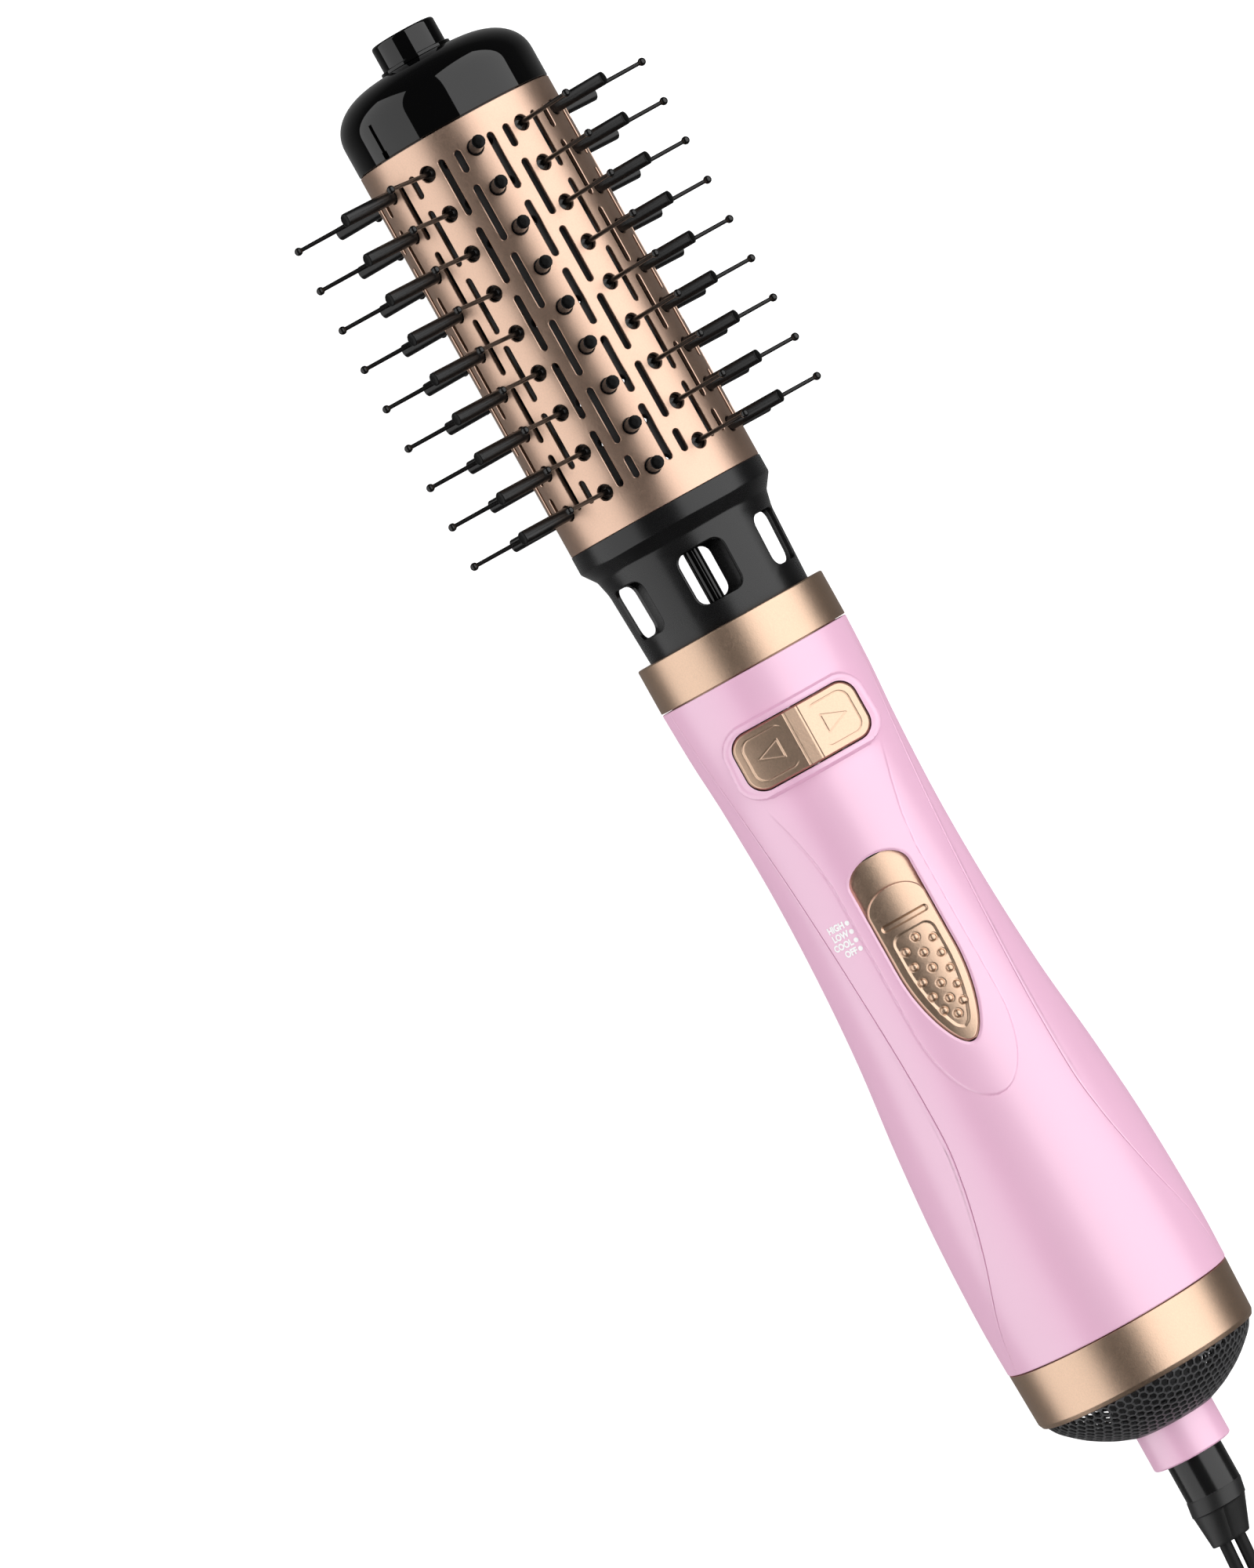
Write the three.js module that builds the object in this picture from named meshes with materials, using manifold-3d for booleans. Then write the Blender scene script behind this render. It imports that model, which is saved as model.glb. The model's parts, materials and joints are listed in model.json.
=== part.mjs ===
// Rotating hot air brush, lying on a table with its controls up and its mains lead put away.
// Millimetres, +Z up. The brush is drawn along its own axis and then laid down: a "station" is the
// distance behind the face of the cool tip, so a point's x is minus its station, z points from the
// axis to the controls, and an angle is turned about +X from the controls.
import * as THREE from 'three';
import { mergeVertices } from 'three/addons/utils/BufferGeometryUtils.js';
import Module from 'manifold-3d';

const wasm = await Module();
wasm.setup();

const DEG = Math.PI / 180;
const GAP = 0.3; // kept between pieces that touch
const ROUND = 24; // sides of a large round piece
const SMALL_ROUND = 12;

// Brush head
const KNOB = { radius: 8.15, length: 7.1, stem: 2.6 };
const CAP = { top: 7.5, end: 25.2, radius: 25, skirtRadius: 23.6, skirtEnd: 30.6 };
const BARREL = { start: 25.5, end: 126.2, radius: 25, innerFlat: 24 };
const ROWS = 36; // columns of openings round the barrel, ten degrees apart
const BRISTLES = { count: 9, first: 33.1, pitch: 10.5, rows: 6 };
const SLOTS = { start: 31.6, end: 117.75, width: 1.7, long: 14.5, short: 5.7 };
const STRIP = { start: 31.2, end: 119.4, half: 2.2, low: 22.2, top: 23.5 };
const BRISTLE_HOLE = 3.9;
const PIN = { radius: 0.5, ball: 1.0, tip: 46.9 };
const TUFT = { radius: 1.65, tip: 39.7 };
const CORE = { start: 31.4, end: 124, outer: 21.8, inner: 20.2, hub: 4.6 };
const NECK = { start: 126.5, end: 164.2, collar: 25.1, collarEnd: 131.3, outlet: 20.7 };
const WINDOW = { count: 6, start: 138.3, end: 151.4, half: 6.05, corner: 2.6 };

// Drive
const ROD = { start: 33, end: 264.2, radius: 1.95, hex: 2.25, hexEnd: 46 };
const GEAR = { module: 0.8, start: 256, end: 260, driveTeeth: 24, pinionTeeth: 12, backlash: 0.3 };
const GEAR_PLATE = { start: 262, end: 264.5, radius: 21.9 };
const GEAR_MOTOR = { start: 264.9, end: 290, radius: 6 };

// Handle
const FRONT_RING = { start: 157.1, end: 168.6, radius: 24.5, bore: 21.4, seat: 18.9 };
const SHELL = { start: 168.9, end: 343, wall: 2 };
const HANDLE_RADII = [
  [168.9, 24.45], [182, 24.0], [196.7, 23.1], [218, 22.53], [240.7, 23.0],
  [262.6, 24.36], [284.6, 26.74], [306.6, 28.48], [328.6, 29.2], [343, 29.0],
];
const SEAM_ANGLES = [
  [168.9, 74], [192, 67], [240, 51], [279, 40], [297, 41], [315.4, 50.5], [332, 66], [343, 74],
];
const REAR_RING = { start: 343.3, end: 357.8, radius: 28.9, bore: 27.5, edge: 355.9, edgeRadius: 28.5 };
const MESH = { rimStart: 352, rimRadius: 27.1, wall: 1.2, hole: 10.4 };
const COLLAR = { start: 366.5, end: 379.7, radius: 10.05, bore: 7.4 };

// Controls
const ROCKER = { station: 188.4, length: 14.3, width: 32, top: 24.5, crown: 24.9, corner: 4.2 };
const RIM = { length: 18.1, width: 35.2, top: 24.9, crown: 25.3, corner: 5.8 };
const PIVOT = { z: 20.6, radius: 1 };
const SLIDER = { front: 228.2, rear: 268.7, half: 7.4, low: 20.5, proud: 0.5 };
const RECESS = { front: 220.2, rear: 269.1, half: 7.75 };
const TRACK = { front: 220.6, rear: 268.7, half: 7.4, low: 19.4, top: 20.2 };

// Mains lead, a flat twin, laid out on the table in the world's own millimetres
const CORD = { width: 6, thickness: 3.1 };
const BOOT = { start: 362.6, flangeEnd: 366.2, radius: 7.05, wedge: 390.1, end: 410, lean: 6 };
const LEAD_ROUTE = [
  [-220.4, 2.1, 25.6], [-226.0, 2.8, 25.2], [-231.7, 3.7, 24.3], [-237.3, 5.0, 22.8],
  [-242.9, 6.6, 20.8], [-248.5, 8.5, 18.3], [-254.1, 10.7, 15.4], [-259.8, 13.0, 12.4],
  [-265.4, 15.4, 9.6], [-271.1, 17.6, 7.2], [-276.7, 19.6, 5.3], [-282.4, 21.3, 4.0],
  [-288.0, 22.6, 3.2], [-293.6, 23.5, 2.9], [-299.2, 24.1, 2.8], [-304.8, 24.3, 2.8],
];
const TAIL_ROUTE = [
  [-304.8, -24.3, 9.4], [-299.0, -24.6, 9.2], [-293.3, -25.1, 8.2], [-287.6, -25.5, 7.0],
  [-281.9, -25.8, 6.3],
];
const HANK = { centre: -375, halfRun: 52, fold: 27.6, pinch: 14, low: 1.2, top: 11.2, tab: 6.6 };
const TIE = { width: 9, thickness: 0.8, half: 14.5 };
const PLUG = { start: -281.6, length: 28, width: 24, height: 12.6, y: -25.8 };
const BLADE = { length: 17, width: 6.3, thickness: 1.5, spacing: 12.7, eye: 1.6, eyeFromEnd: 4 };

const finish = (color, roughness, metalness) =>
  new THREE.MeshStandardMaterial({ color, roughness, metalness });
const GLOSS_BLACK = finish(0x0c0c0d, 0.15, 0);
const SATIN_BLACK = finish(0x1c1c1d, 0.45, 0);
const ROSE_GOLD = finish(0xc79c7d, 0.4, 0.9);
const PINK = finish(0xf2c2dc, 0.4, 0);
const RUBBER = finish(0x151516, 0.7, 0);
const STEEL = finish(0xa9abad, 0.35, 1);
const MICA = finish(0xb8a27a, 0.6, 0);
const BOARD = finish(0x1f5a38, 0.6, 0);
const GREY_PLASTIC = finish(0x3b3d40, 0.6, 0);
const WHITE_PLASTIC = finish(0xe6e4dd, 0.6, 0);

// Shape helpers. Every shape is a closed BufferGeometry; join and cut pass through Manifold.

function signedVolume(position, corners) {
  const [a, b, c] = [new THREE.Vector3(), new THREE.Vector3(), new THREE.Vector3()];
  let volume = 0;
  for (let i = 0; i < corners.length; i += 3) {
    a.fromBufferAttribute(position, corners[i]);
    b.fromBufferAttribute(position, corners[i + 1]);
    c.fromBufferAttribute(position, corners[i + 2]);
    volume += a.dot(b.cross(c)) / 6;
  }
  return volume;
}

function toSolid(geometry) {
  const bare = geometry.clone();
  bare.deleteAttribute('normal');
  bare.deleteAttribute('uv');
  const merged = mergeVertices(bare, 1e-4);
  const position = merged.getAttribute('position');
  const index = merged.getIndex().array;
  const corners = [];
  for (let i = 0; i < index.length; i += 3) {
    const [a, b, c] = index.slice(i, i + 3);
    if (a !== b && b !== c && c !== a) corners.push(a, b, c);
  }
  if (signedVolume(position, corners) < 0) corners.reverse();
  const vertProperties = new Float32Array(position.array);
  const triVerts = new Uint32Array(corners);
  return new wasm.Manifold(new wasm.Mesh({ numProp: 3, vertProperties, triVerts }));
}

function fromSolid(solid) {
  const { vertProperties, triVerts } = solid.getMesh();
  const geometry = new THREE.BufferGeometry();
  geometry.setAttribute('position', new THREE.BufferAttribute(vertProperties, 3));
  geometry.setIndex(new THREE.BufferAttribute(triVerts, 1));
  return geometry;
}

const united = (shapes) => shapes.map(toSolid).reduce((all, next) => all.add(next));
const join = (...shapes) => fromSolid(united(shapes));
const cut = (body, ...tools) => fromSolid(toSolid(body).subtract(united(tools)));
const overlap = (first, second) => fromSolid(toSolid(first).intersect(toSolid(second)));

// A solid of revolution about the brush's axis, from [station, radius] corners.
function turned(profile, sides = ROUND, startAngle = 0) {
  const points = [...profile, profile[0]].map(([s, r]) => new THREE.Vector2(r, -s));
  return fromSolid(toSolid(new THREE.LatheGeometry(points, sides, startAngle * DEG).rotateZ(-90 * DEG)));
}

const disc = (start, end, radius, sides = ROUND) =>
  turned([[start, 0], [start, radius], [end, radius], [end, 0]], sides);

const tube = (start, end, inner, outer, sides = ROUND) =>
  turned([[start, inner], [start, outer], [end, outer], [end, inner]], sides);

// A solid of revolution about an upright line, from [height, radius] corners.
function upturned(profile, sides) {
  const points = [...profile, profile[0]].map(([z, r]) => new THREE.Vector2(r, z));
  return fromSolid(toSolid(new THREE.LatheGeometry(points, sides).rotateX(90 * DEG)));
}

const post = (station, y, low, high, radius, sides = SMALL_ROUND) =>
  upturned([[low, 0], [low, radius], [high, radius], [high, 0]], sides).translate(-station, y, 0);

function block(stations, ys, zs) {
  const [width, depth, height] = [stations, ys, zs].map(([low, high]) => high - low);
  const middle = [stations, ys, zs].map(([low, high]) => (low + high) / 2);
  return new THREE.BoxGeometry(width, depth, height).translate(-middle[0], middle[1], middle[2]);
}

// A plan outline in x and y, raised between two heights.
function raised(shape, low, high, curveSegments = 5) {
  const settings = { depth: high - low, bevelEnabled: false, curveSegments };
  return new THREE.ExtrudeGeometry(shape, settings).translate(0, 0, low);
}

function outline(points) {
  return new THREE.Shape(points.map(([x, y]) => new THREE.Vector2(x, y)));
}

// A rectangle with round corners, centred on a station.
function roundedRectangle(station, length, width, corner) {
  const [x, y] = [length / 2 - corner, width / 2 - corner];
  const shape = new THREE.Shape();
  shape.absarc(-station + x, y, corner, 0, 90 * DEG);
  shape.absarc(-station - x, y, corner, 90 * DEG, 180 * DEG);
  shape.absarc(-station - x, -y, corner, 180 * DEG, 270 * DEG);
  shape.absarc(-station + x, -y, corner, 270 * DEG, 360 * DEG);
  return shape;
}

// The slider's plan: an arched front, parallel sides and a rounded point at the rear.
function tongue({ front, rear, half }) {
  const arch = 5.2;
  const taper = 22;
  const shape = new THREE.Shape();
  shape.absellipse(-front - arch, 0, arch, half, -90 * DEG, 90 * DEG);
  shape.lineTo(-rear + taper, half);
  shape.bezierCurveTo(-rear + taper / 2, half, -rear, half * 0.45, -rear, 0);
  shape.bezierCurveTo(-rear, -half * 0.45, -rear + taper / 2, -half, -rear + taper, -half);
  return shape;
}

const around = (shape, angle) => shape.clone().rotateX(angle * DEG);
const ring = (shape, count, first = 0) =>
  Array.from({ length: count }, (_, i) => around(shape, first + (360 / count) * i));

// Reads a smooth curve through [station, value] pairs.
function along(pairs) {
  const curve = new THREE.SplineCurve(pairs.map(([s, value]) => new THREE.Vector2(s, value)));
  return (part) => curve.getPoint(part).toArray();
}

function samples(pairs, steps) {
  const at = along(pairs);
  return Array.from({ length: steps + 1 }, (_, i) => at(i / steps));
}

const root = new THREE.Group();
const brush = new THREE.Group();
root.add(brush);

function place(name, shape, material, parent = brush) {
  const mesh = new THREE.Mesh(shape, material);
  mesh.name = name;
  parent.add(mesh);
}

// Brush head

function coolTip() {
  const { radius, length, stem } = KNOB;
  return turned([
    [0, 0], [0, radius - 0.75], [0.7, radius], [length - 0.9, radius], [length - 0.9, 9.2],
    [length, 9.2], [length, stem], [10.3, stem], [10.3, stem + 1.4], [12, stem + 0.4], [14, 0],
  ], 18);
}

function endCap() {
  const { top, end, radius, skirtRadius, skirtEnd } = CAP;
  const bore = KNOB.stem + GAP;
  return turned([
    [top, bore], [top, 9.5], [8.8, 17], [11, 21.6], [14.3, 24.2], [17.8, radius], [end, radius],
    [end, skirtRadius], [skirtEnd, skirtRadius], [skirtEnd, 21.6], [15, 21.8], [10.2, 15],
    [9.6, bore],
  ]);
}

const bristleStations = Array.from(
  { length: BRISTLES.count },
  (_, i) => BRISTLES.first + BRISTLES.pitch * i,
);

// A square-ended opening through the barrel wall above the axis.
function slotTool(middle, length, width = SLOTS.width) {
  const [halfLength, half] = [length / 2, width / 2];
  return block([middle - halfLength, middle + halfLength], [-half, half], [22, 27]);
}

// Five long slots in a column, or a short one, four long ones and a short one.
function slotColumn(shortEnds) {
  const { start, end, long, short } = SLOTS;
  if (!shortEnds) {
    const pitch = (end - start - long) / 4;
    return [0, 1, 2, 3, 4].map((i) => slotTool(start + long / 2 + pitch * i, long));
  }
  const gap = (end - start - 2 * short - 4 * long) / 5;
  const first = start + short + gap + long / 2;
  const longSlots = [0, 1, 2, 3].map((i) => slotTool(first + (long + gap) * i, long));
  return [slotTool(start + short / 2, short), ...longSlots, slotTool(end - short / 2, short)];
}

function barrelTools() {
  const tools = [];
  for (let row = 0; row < ROWS; row += 1) {
    const kind = row % 3;
    const column = kind === 0
      ? bristleStations.map((s) => slotTool(s, BRISTLE_HOLE, BRISTLE_HOLE))
      : slotColumn(kind === 2);
    tools.push(...column.map((tool) => around(tool, (360 / ROWS) * row)));
  }
  return tools;
}

function barrel() {
  const halfFacet = 180 / ROWS;
  const inner = BARREL.innerFlat / Math.cos(halfFacet * DEG);
  const { start, end, radius } = BARREL;
  const wall = turned([[start, inner], [start, radius], [end, radius], [end, inner]], ROWS, halfFacet);
  return cut(wall, ...barrelTools());
}

function headCore() {
  const { start, end, outer, inner, hub } = CORE;
  const bore = turned([[start - 1, 0], [start - 1, 2.65], [50, 2.65], [50, 0]], 6);
  const passage = disc(49, end + 1, ROD.radius + 0.4, SMALL_ROUND);
  const spoke = (from, to) => block([from, to], [-0.9, 0.9], [hub - 0.6, inner + 0.6]);
  const spider = (from, to) => [disc(from, to, hub, 18), ...ring(spoke(from, to), 3, 15)];
  const airWay = block([38, 114], [-3.3, 3.3], [15, 25]);
  const cage = cut(tube(start, end, inner, outer), ...ring(airWay, 12, 15));
  const carried = join(cage, ...spider(start, 46), ...spider(118, end));
  return cut(carried, bore, passage);
}

function pin() {
  const { radius, ball, tip } = PIN;
  return upturned([
    [STRIP.low + 0.5, 0], [STRIP.low + 0.5, radius], [tip - 2 * ball, radius], [tip - ball, ball],
    [tip, 0],
  ], 4);
}

function tuft() {
  const { radius, tip } = TUFT;
  return upturned([[STRIP.low + 0.5, 0], [STRIP.low + 0.5, radius], [tip, radius], [tip, 0]], 5);
}

function bristleStrip(bristle, angle) {
  const bar = block([STRIP.start, STRIP.end], [-STRIP.half, STRIP.half], [STRIP.low, STRIP.top]);
  const bristles = bristleStations.map((s) => bristle.clone().translate(-s, 0, 0));
  return around(join(bar, ...bristles), angle);
}

function neck() {
  const { start, end, collar, collarEnd, outlet } = NECK;
  const body = turned([
    [120.2, 22.3], [120.2, 23.6], [start, 23.6], [start, collar], [collarEnd, collar],
    [134, 22.9], [138, 21.7], [end, outlet], [end, outlet - 1.7], [138, 19.7], [132, 22.3],
  ]);
  const { start: from, end: to, half, corner, count } = WINDOW;
  const pane = roundedRectangle((from + to) / 2, to - from, half * 2, corner);
  return cut(body, ...ring(raised(pane, 10, 30, 1), count));
}

function buildHead() {
  place('cool_tip', coolTip(), GLOSS_BLACK);
  place('end_cap', endCap(), GLOSS_BLACK);
  place('barrel', barrel(), ROSE_GOLD);
  place('head_core', headCore(), SATIN_BLACK);
  for (let i = 0; i < BRISTLES.rows; i += 1) {
    place(`tuft_strip_${i + 1}`, bristleStrip(tuft(), 60 * i), SATIN_BLACK);
    place(`pin_strip_${i + 1}`, bristleStrip(pin(), 60 * i + 30), SATIN_BLACK);
  }
  place('neck', neck(), SATIN_BLACK);
}

// Drive

function driveRod() {
  const { start, end, radius, hex, hexEnd } = ROD;
  return join(disc(start, hexEnd, hex, 6), disc(hexEnd - 1, end, radius, SMALL_ROUND));
}

// A spur gear's outline, thinned at the flanks by the backlash. A tooth or a gap is at angle zero.
function gearShape(teeth, toothAtZero) {
  const pitch = (GEAR.module * teeth) / 2;
  const [tip, foot] = [pitch + GEAR.module * 0.9, pitch - GEAR.module * 1.25];
  const step = (2 * Math.PI) / teeth;
  const thin = GEAR.backlash / 2 / pitch;
  const [tipHalf, footHalf] = [step * 0.13 - thin * 0.5, step * 0.31 - thin];
  const corners = [];
  for (let i = 0; i < teeth; i += 1) {
    const middle = step * (toothAtZero ? i : i + 0.5);
    const tooth = [[foot, -footHalf], [tip, -tipHalf], [tip, tipHalf], [foot, footHalf]];
    tooth.forEach(([r, a]) => corners.push([r * Math.cos(middle + a), r * Math.sin(middle + a)]));
  }
  return outline(corners);
}

// Stands a plan shape up across the brush's axis: its x points down and its height runs rearwards.
function acrossAxis(shape, start, end) {
  return raised(shape, 0, end - start).rotateY(90 * DEG).translate(-end, 0, 0);
}

const shaftDistance = (GEAR.module * (GEAR.driveTeeth + GEAR.pinionTeeth)) / 2 + 0.1;

function driveGear() {
  const wheel = acrossAxis(gearShape(GEAR.driveTeeth, true), GEAR.start, GEAR.end);
  return cut(wheel, disc(GEAR.start - 1, GEAR.end + 1, ROD.radius + GAP, SMALL_ROUND));
}

function motorPinion() {
  const wheel = acrossAxis(gearShape(GEAR.pinionTeeth, false), GEAR.start, GEAR.end);
  return join(wheel, disc(GEAR.end - 1, GEAR_MOTOR.start - GAP, 1.5, 10)).translate(0, 0, -shaftDistance);
}

function gearMotor() {
  const { start, end, radius } = GEAR_MOTOR;
  return turned([
    [start, 0], [start, radius], [280, radius], [280, radius - 0.8], [end, radius - 0.8], [end, 0],
  ], 20).translate(0, 0, -shaftDistance);
}

function gearPlate() {
  const { start, end, radius } = GEAR_PLATE;
  const [from, to] = [start - 1, end + 1];
  const notch = block([from, to], [-9, 9], [18.4, 25]);
  const airWay = block([from, to], [7, 17.5], [-9, 9]);
  const topWay = block([from, to], [-4.5, 4.5], [6.5, 15]);
  const bush = disc(from, to, ROD.radius + GAP, SMALL_ROUND);
  const shaftHole = disc(from, to, 1.85, 10).translate(0, 0, -shaftDistance);
  return cut(disc(start, end, radius), notch, airWay, around(airWay, 180), topWay, bush, shaftHole);
}

function buildDrive() {
  place('drive_rod', driveRod(), STEEL);
  place('drive_gear', driveGear(), WHITE_PLASTIC);
  place('motor_pinion', motorPinion(), STEEL);
  place('gear_motor', gearMotor(), STEEL);
  place('gear_plate', gearPlate(), GREY_PLASTIC);
}

// Handle

function frontRing() {
  const { start, end, radius, bore, seat } = FRONT_RING;
  return turned([
    [start, bore], [start, radius - 0.4], [start + 0.4, radius], [end, radius], [end, 21.8],
    [175, 21.8], [175, seat], [NECK.end + 0.4, seat], [NECK.end + 0.4, bore],
  ]);
}

function outletGrille() {
  const [start, end] = [170, 173];
  const spoke = block([start, end], [-0.8, 0.8], [4, 17]);
  const frame = join(tube(start, end, 16.6, 18.5), disc(start, end, 4.6, 18), ...ring(spoke, 6, 30));
  return cut(frame, disc(start - 1, end + 1, ROD.radius + GAP, SMALL_ROUND));
}

function handleTube() {
  const outer = samples(HANDLE_RADII, 11);
  const inner = samples(HANDLE_RADII, 6).map(([s, r]) => [s, r - SHELL.wall]);
  return turned([...outer, ...inner.reverse()]);
}

// The space above the shells' seams, widened by a margin on each side.
function aboveSeams(margin) {
  const radiusAt = samples(HANDLE_RADII, 60);
  const edge = samples(SEAM_ANGLES, 22).map(([s, angle]) => {
    const nearest = radiusAt.reduce((a, b) => (Math.abs(b[0] - s) < Math.abs(a[0] - s) ? b : a));
    return [-s, nearest[1] * Math.sin(angle * DEG) + margin];
  });
  const last = edge.length - 1;
  edge[0] = [edge[0][0] + 1, edge[0][1]];
  edge[last] = [edge[last][0] - 1, edge[last][1]];
  const mirrored = edge.map(([x, y]) => [x, -y]).reverse();
  return raised(outline([...edge, ...mirrored]), 0, 40);
}

// A long cylinder whose top is at one height, for the crowned faces of the rocker and its rim.
function crown(top, radius) {
  return disc(ROCKER.station - 12, ROCKER.station + 12, radius, 40).translate(0, 0, top - radius);
}

function rockerRim() {
  const rim = roundedRectangle(ROCKER.station, RIM.length, RIM.width, RIM.corner);
  return overlap(raised(rim, 14.5, 26), crown(RIM.top, RIM.crown));
}

function rockerOpening() {
  const { station, length, width, corner } = ROCKER;
  const play = 2 * GAP;
  return raised(roundedRectangle(station, length + play, width + play, corner), 10, 30);
}

const screwPlaces = [-12, 12];
const SCREW = { station: 276, radius: 1.5, head: 2.9, boss: 3.6, low: -20.4, top: 5 };

function topShell() {
  const { station, length } = ROCKER;
  const pinEar = block([station - 12, station + 12], [-2.6, 2.6], [19.4, 22.8]);
  const pinBore = disc(station - 13, station + 13, PIVOT.radius + GAP, SMALL_ROUND)
    .translate(0, 0, PIVOT.z);
  const betweenEars = block([station - length / 2 - GAP, station + length / 2 + GAP], [-4, 4], [10, 30]);
  const bosses = screwPlaces.map((y) => post(SCREW.station, y, 1, 22, SCREW.boss));
  const threads = screwPlaces.map((y) => post(SCREW.station, y, 0, SCREW.top + 1, SCREW.radius + GAP));
  const panel = overlap(handleTube(), aboveSeams(0));
  const inside = disc(station - 14, station + 14, 21.2);
  const rim = cut(rockerRim(), inside);
  const shell = join(panel, rim, pinEar, ...bosses);
  return cut(shell, rockerOpening(), betweenEars, pinBore, raised(tongue(RECESS), 10, 30), ...threads);
}

function bottomShell() {
  const bosses = screwPlaces.map((y) => post(SCREW.station, y, -21.5, 0.7, SCREW.boss));
  const shafts = screwPlaces.map((y) => post(SCREW.station, y, -30, 3, SCREW.radius + GAP));
  const heads = screwPlaces.map((y) => post(SCREW.station, y, -30, SCREW.low, SCREW.head + GAP));
  const shell = cut(handleTube(), aboveSeams(GAP));
  return cut(join(shell, ...bosses), ...shafts, ...heads);
}

function shellScrew(y) {
  const { station, radius, head, low, top } = SCREW;
  const headHeight = 1.8;
  return join(
    post(station, y, low - GAP - headHeight, low - GAP, head),
    post(station, y, low - 1, top, radius),
  );
}

function rearRing() {
  const { start, end, radius, bore, edge, edgeRadius } = REAR_RING;
  return turned([
    [start, radius], [edge, edgeRadius], [357.2, radius - 0.8], [end, bore], [351.6, bore],
    [351.6, 25.4], [337.5, 25.4], [337.5, 26.6], [start, 26.6],
  ]);
}

// The dome's outside, from its rim to the hole for the collar.
const DOME = [[357.9, 27.1], [361.2, 24.7], [365.2, 20.3], [370.3, 10.4]];

function inletMesh() {
  const { rimStart, rimRadius, wall } = MESH;
  const inside = DOME.map(([s, r]) => [s - wall * 0.8, r - wall * 0.6]).reverse();
  inside[0][1] = MESH.hole;
  const shell = turned([
    [rimStart, rimRadius - wall], [rimStart, rimRadius], ...DOME, ...inside,
  ]);
  const vent = new THREE.BoxGeometry(9.5, 3, 12).rotateY(-38 * DEG).translate(-364.5, 0, 20.5);
  return cut(shell, ...ring(vent, 14));
}

function cordCollar() {
  const { start, end, radius, bore } = COLLAR;
  return turned([
    [start, bore], [start, 12], [start + 1, 12], [start + 1, radius], [end - 0.5, radius],
    [end, radius - 0.5], [end, bore],
  ], 20);
}

function buildHandle() {
  place('front_ring', frontRing(), ROSE_GOLD);
  place('outlet_grille', outletGrille(), SATIN_BLACK);
  place('top_shell', topShell(), PINK);
  place('bottom_shell', bottomShell(), PINK);
  screwPlaces.forEach((y, i) => place(`shell_screw_${i + 1}`, shellScrew(y), STEEL));
  place('rear_ring', rearRing(), ROSE_GOLD);
  place('inlet_mesh', inletMesh(), SATIN_BLACK);
  place('cord_collar', cordCollar(), PINK);
}

// Controls

function rocker() {
  const { station, length, width, corner, top, crown: crownRadius } = ROCKER;
  const plan = raised(roundedRectangle(station, length, width, corner), 12, 30);
  const plate = cut(overlap(plan, crown(top, crownRadius)), crown(top - 2.2, crownRadius - 2.2));
  const hub = block([station - 6, station + 6], [-2.2, 2.2], [19.5, 23]);
  const legs = [-5.4, 5.4].map((y) => block([station - 2, station + 2], [y - 1, y + 1], [20.9, 23]));
  const bore = disc(station - 8, station + 8, PIVOT.radius + GAP, SMALL_ROUND).translate(0, 0, PIVOT.z);
  return cut(join(plate, hub, ...legs), bore);
}

function rockerPin() {
  const { station } = ROCKER;
  return disc(station - 11.5, station + 11.5, PIVOT.radius, SMALL_ROUND).translate(0, 0, PIVOT.z);
}

function slider() {
  const surface = samples(HANDLE_RADII, 20).map(([s, r]) => [s, r + SLIDER.proud]);
  const crowned = turned([[SHELL.start, 0], ...surface, [SHELL.end, 0]], 40);
  const plate = overlap(raised(tongue(SLIDER), SLIDER.low, 30), crowned);
  const groove = block([236.3, 237.9], [-5.8, 5.8], [22.4, 30]);
  const stem = block([250, 254], [-1.5, 1.5], [19.2, 21]);
  return join(cut(plate, groove), stem);
}

function trackPlate() {
  const slot = block([242.6, 254.4], [-1.9, 1.9], [15, 25]);
  return cut(raised(tongue(TRACK), TRACK.low, TRACK.top), slot);
}

function tactSwitch(side) {
  const { station } = ROCKER;
  return block([station - 2.5, station + 2.5], [-1.55, 1.55], [19.3, 20.3]).translate(0, side * 5.35, 0);
}

function buildControls() {
  place('rocker', rocker(), ROSE_GOLD);
  place('rocker_pin', rockerPin(), STEEL);
  place('slide_switch', slider(), ROSE_GOLD);
  place('track_plate', trackPlate(), ROSE_GOLD);
  place('control_board', block([176.2, 240], [-6.8, 6.8], [17.8, 19]), BOARD);
  place('tact_switch_left', tactSwitch(1), GREY_PLASTIC);
  place('tact_switch_right', tactSwitch(-1), GREY_PLASTIC);
  place('slide_switch_body', block([241, 257], [-4.5, 4.5], [12.5, 18.9]), GREY_PLASTIC);
}

// Heater and fan

class HeaterWire extends THREE.Curve {
  constructor() {
    super();
    Object.assign(this, { turns: 5, start: 184, end: 228, radius: 15.6 });
  }

  getPoint(part, target = new THREE.Vector3()) {
    const angle = 2 * Math.PI * this.turns * part;
    const x = -(this.start + (this.end - this.start) * part);
    return target.set(x, this.radius * Math.sin(angle), this.radius * Math.cos(angle));
  }
}

function heaterCoil() {
  const half = 0.5;
  const section = outline([[-half, -half], [half, -half], [half, half], [-half, half]]);
  return new THREE.ExtrudeGeometry(section, { extrudePath: new HeaterWire(), steps: 60 });
}

function heaterFrame() {
  const [start, end] = [180, 232];
  const blade = block([start, end], [-0.4, 0.4], [3.6, 14.2]);
  const collars = [tube(start, start + 2, 2.7, 4.2, 10), tube(end - 2, end, 2.7, 4.2, 10)];
  return join(...collars, ...ring(blade, 4, 45));
}

function fanDuct() {
  const [start, end] = [288, 335];
  const vane = block([296, 312], [-0.6, 0.6], [12.8, 23.8]);
  return join(tube(start, end, 23.4, 24.6), tube(294, 314, 12.35, 13.4, 24), ...ring(vane, 5, 36));
}

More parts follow.
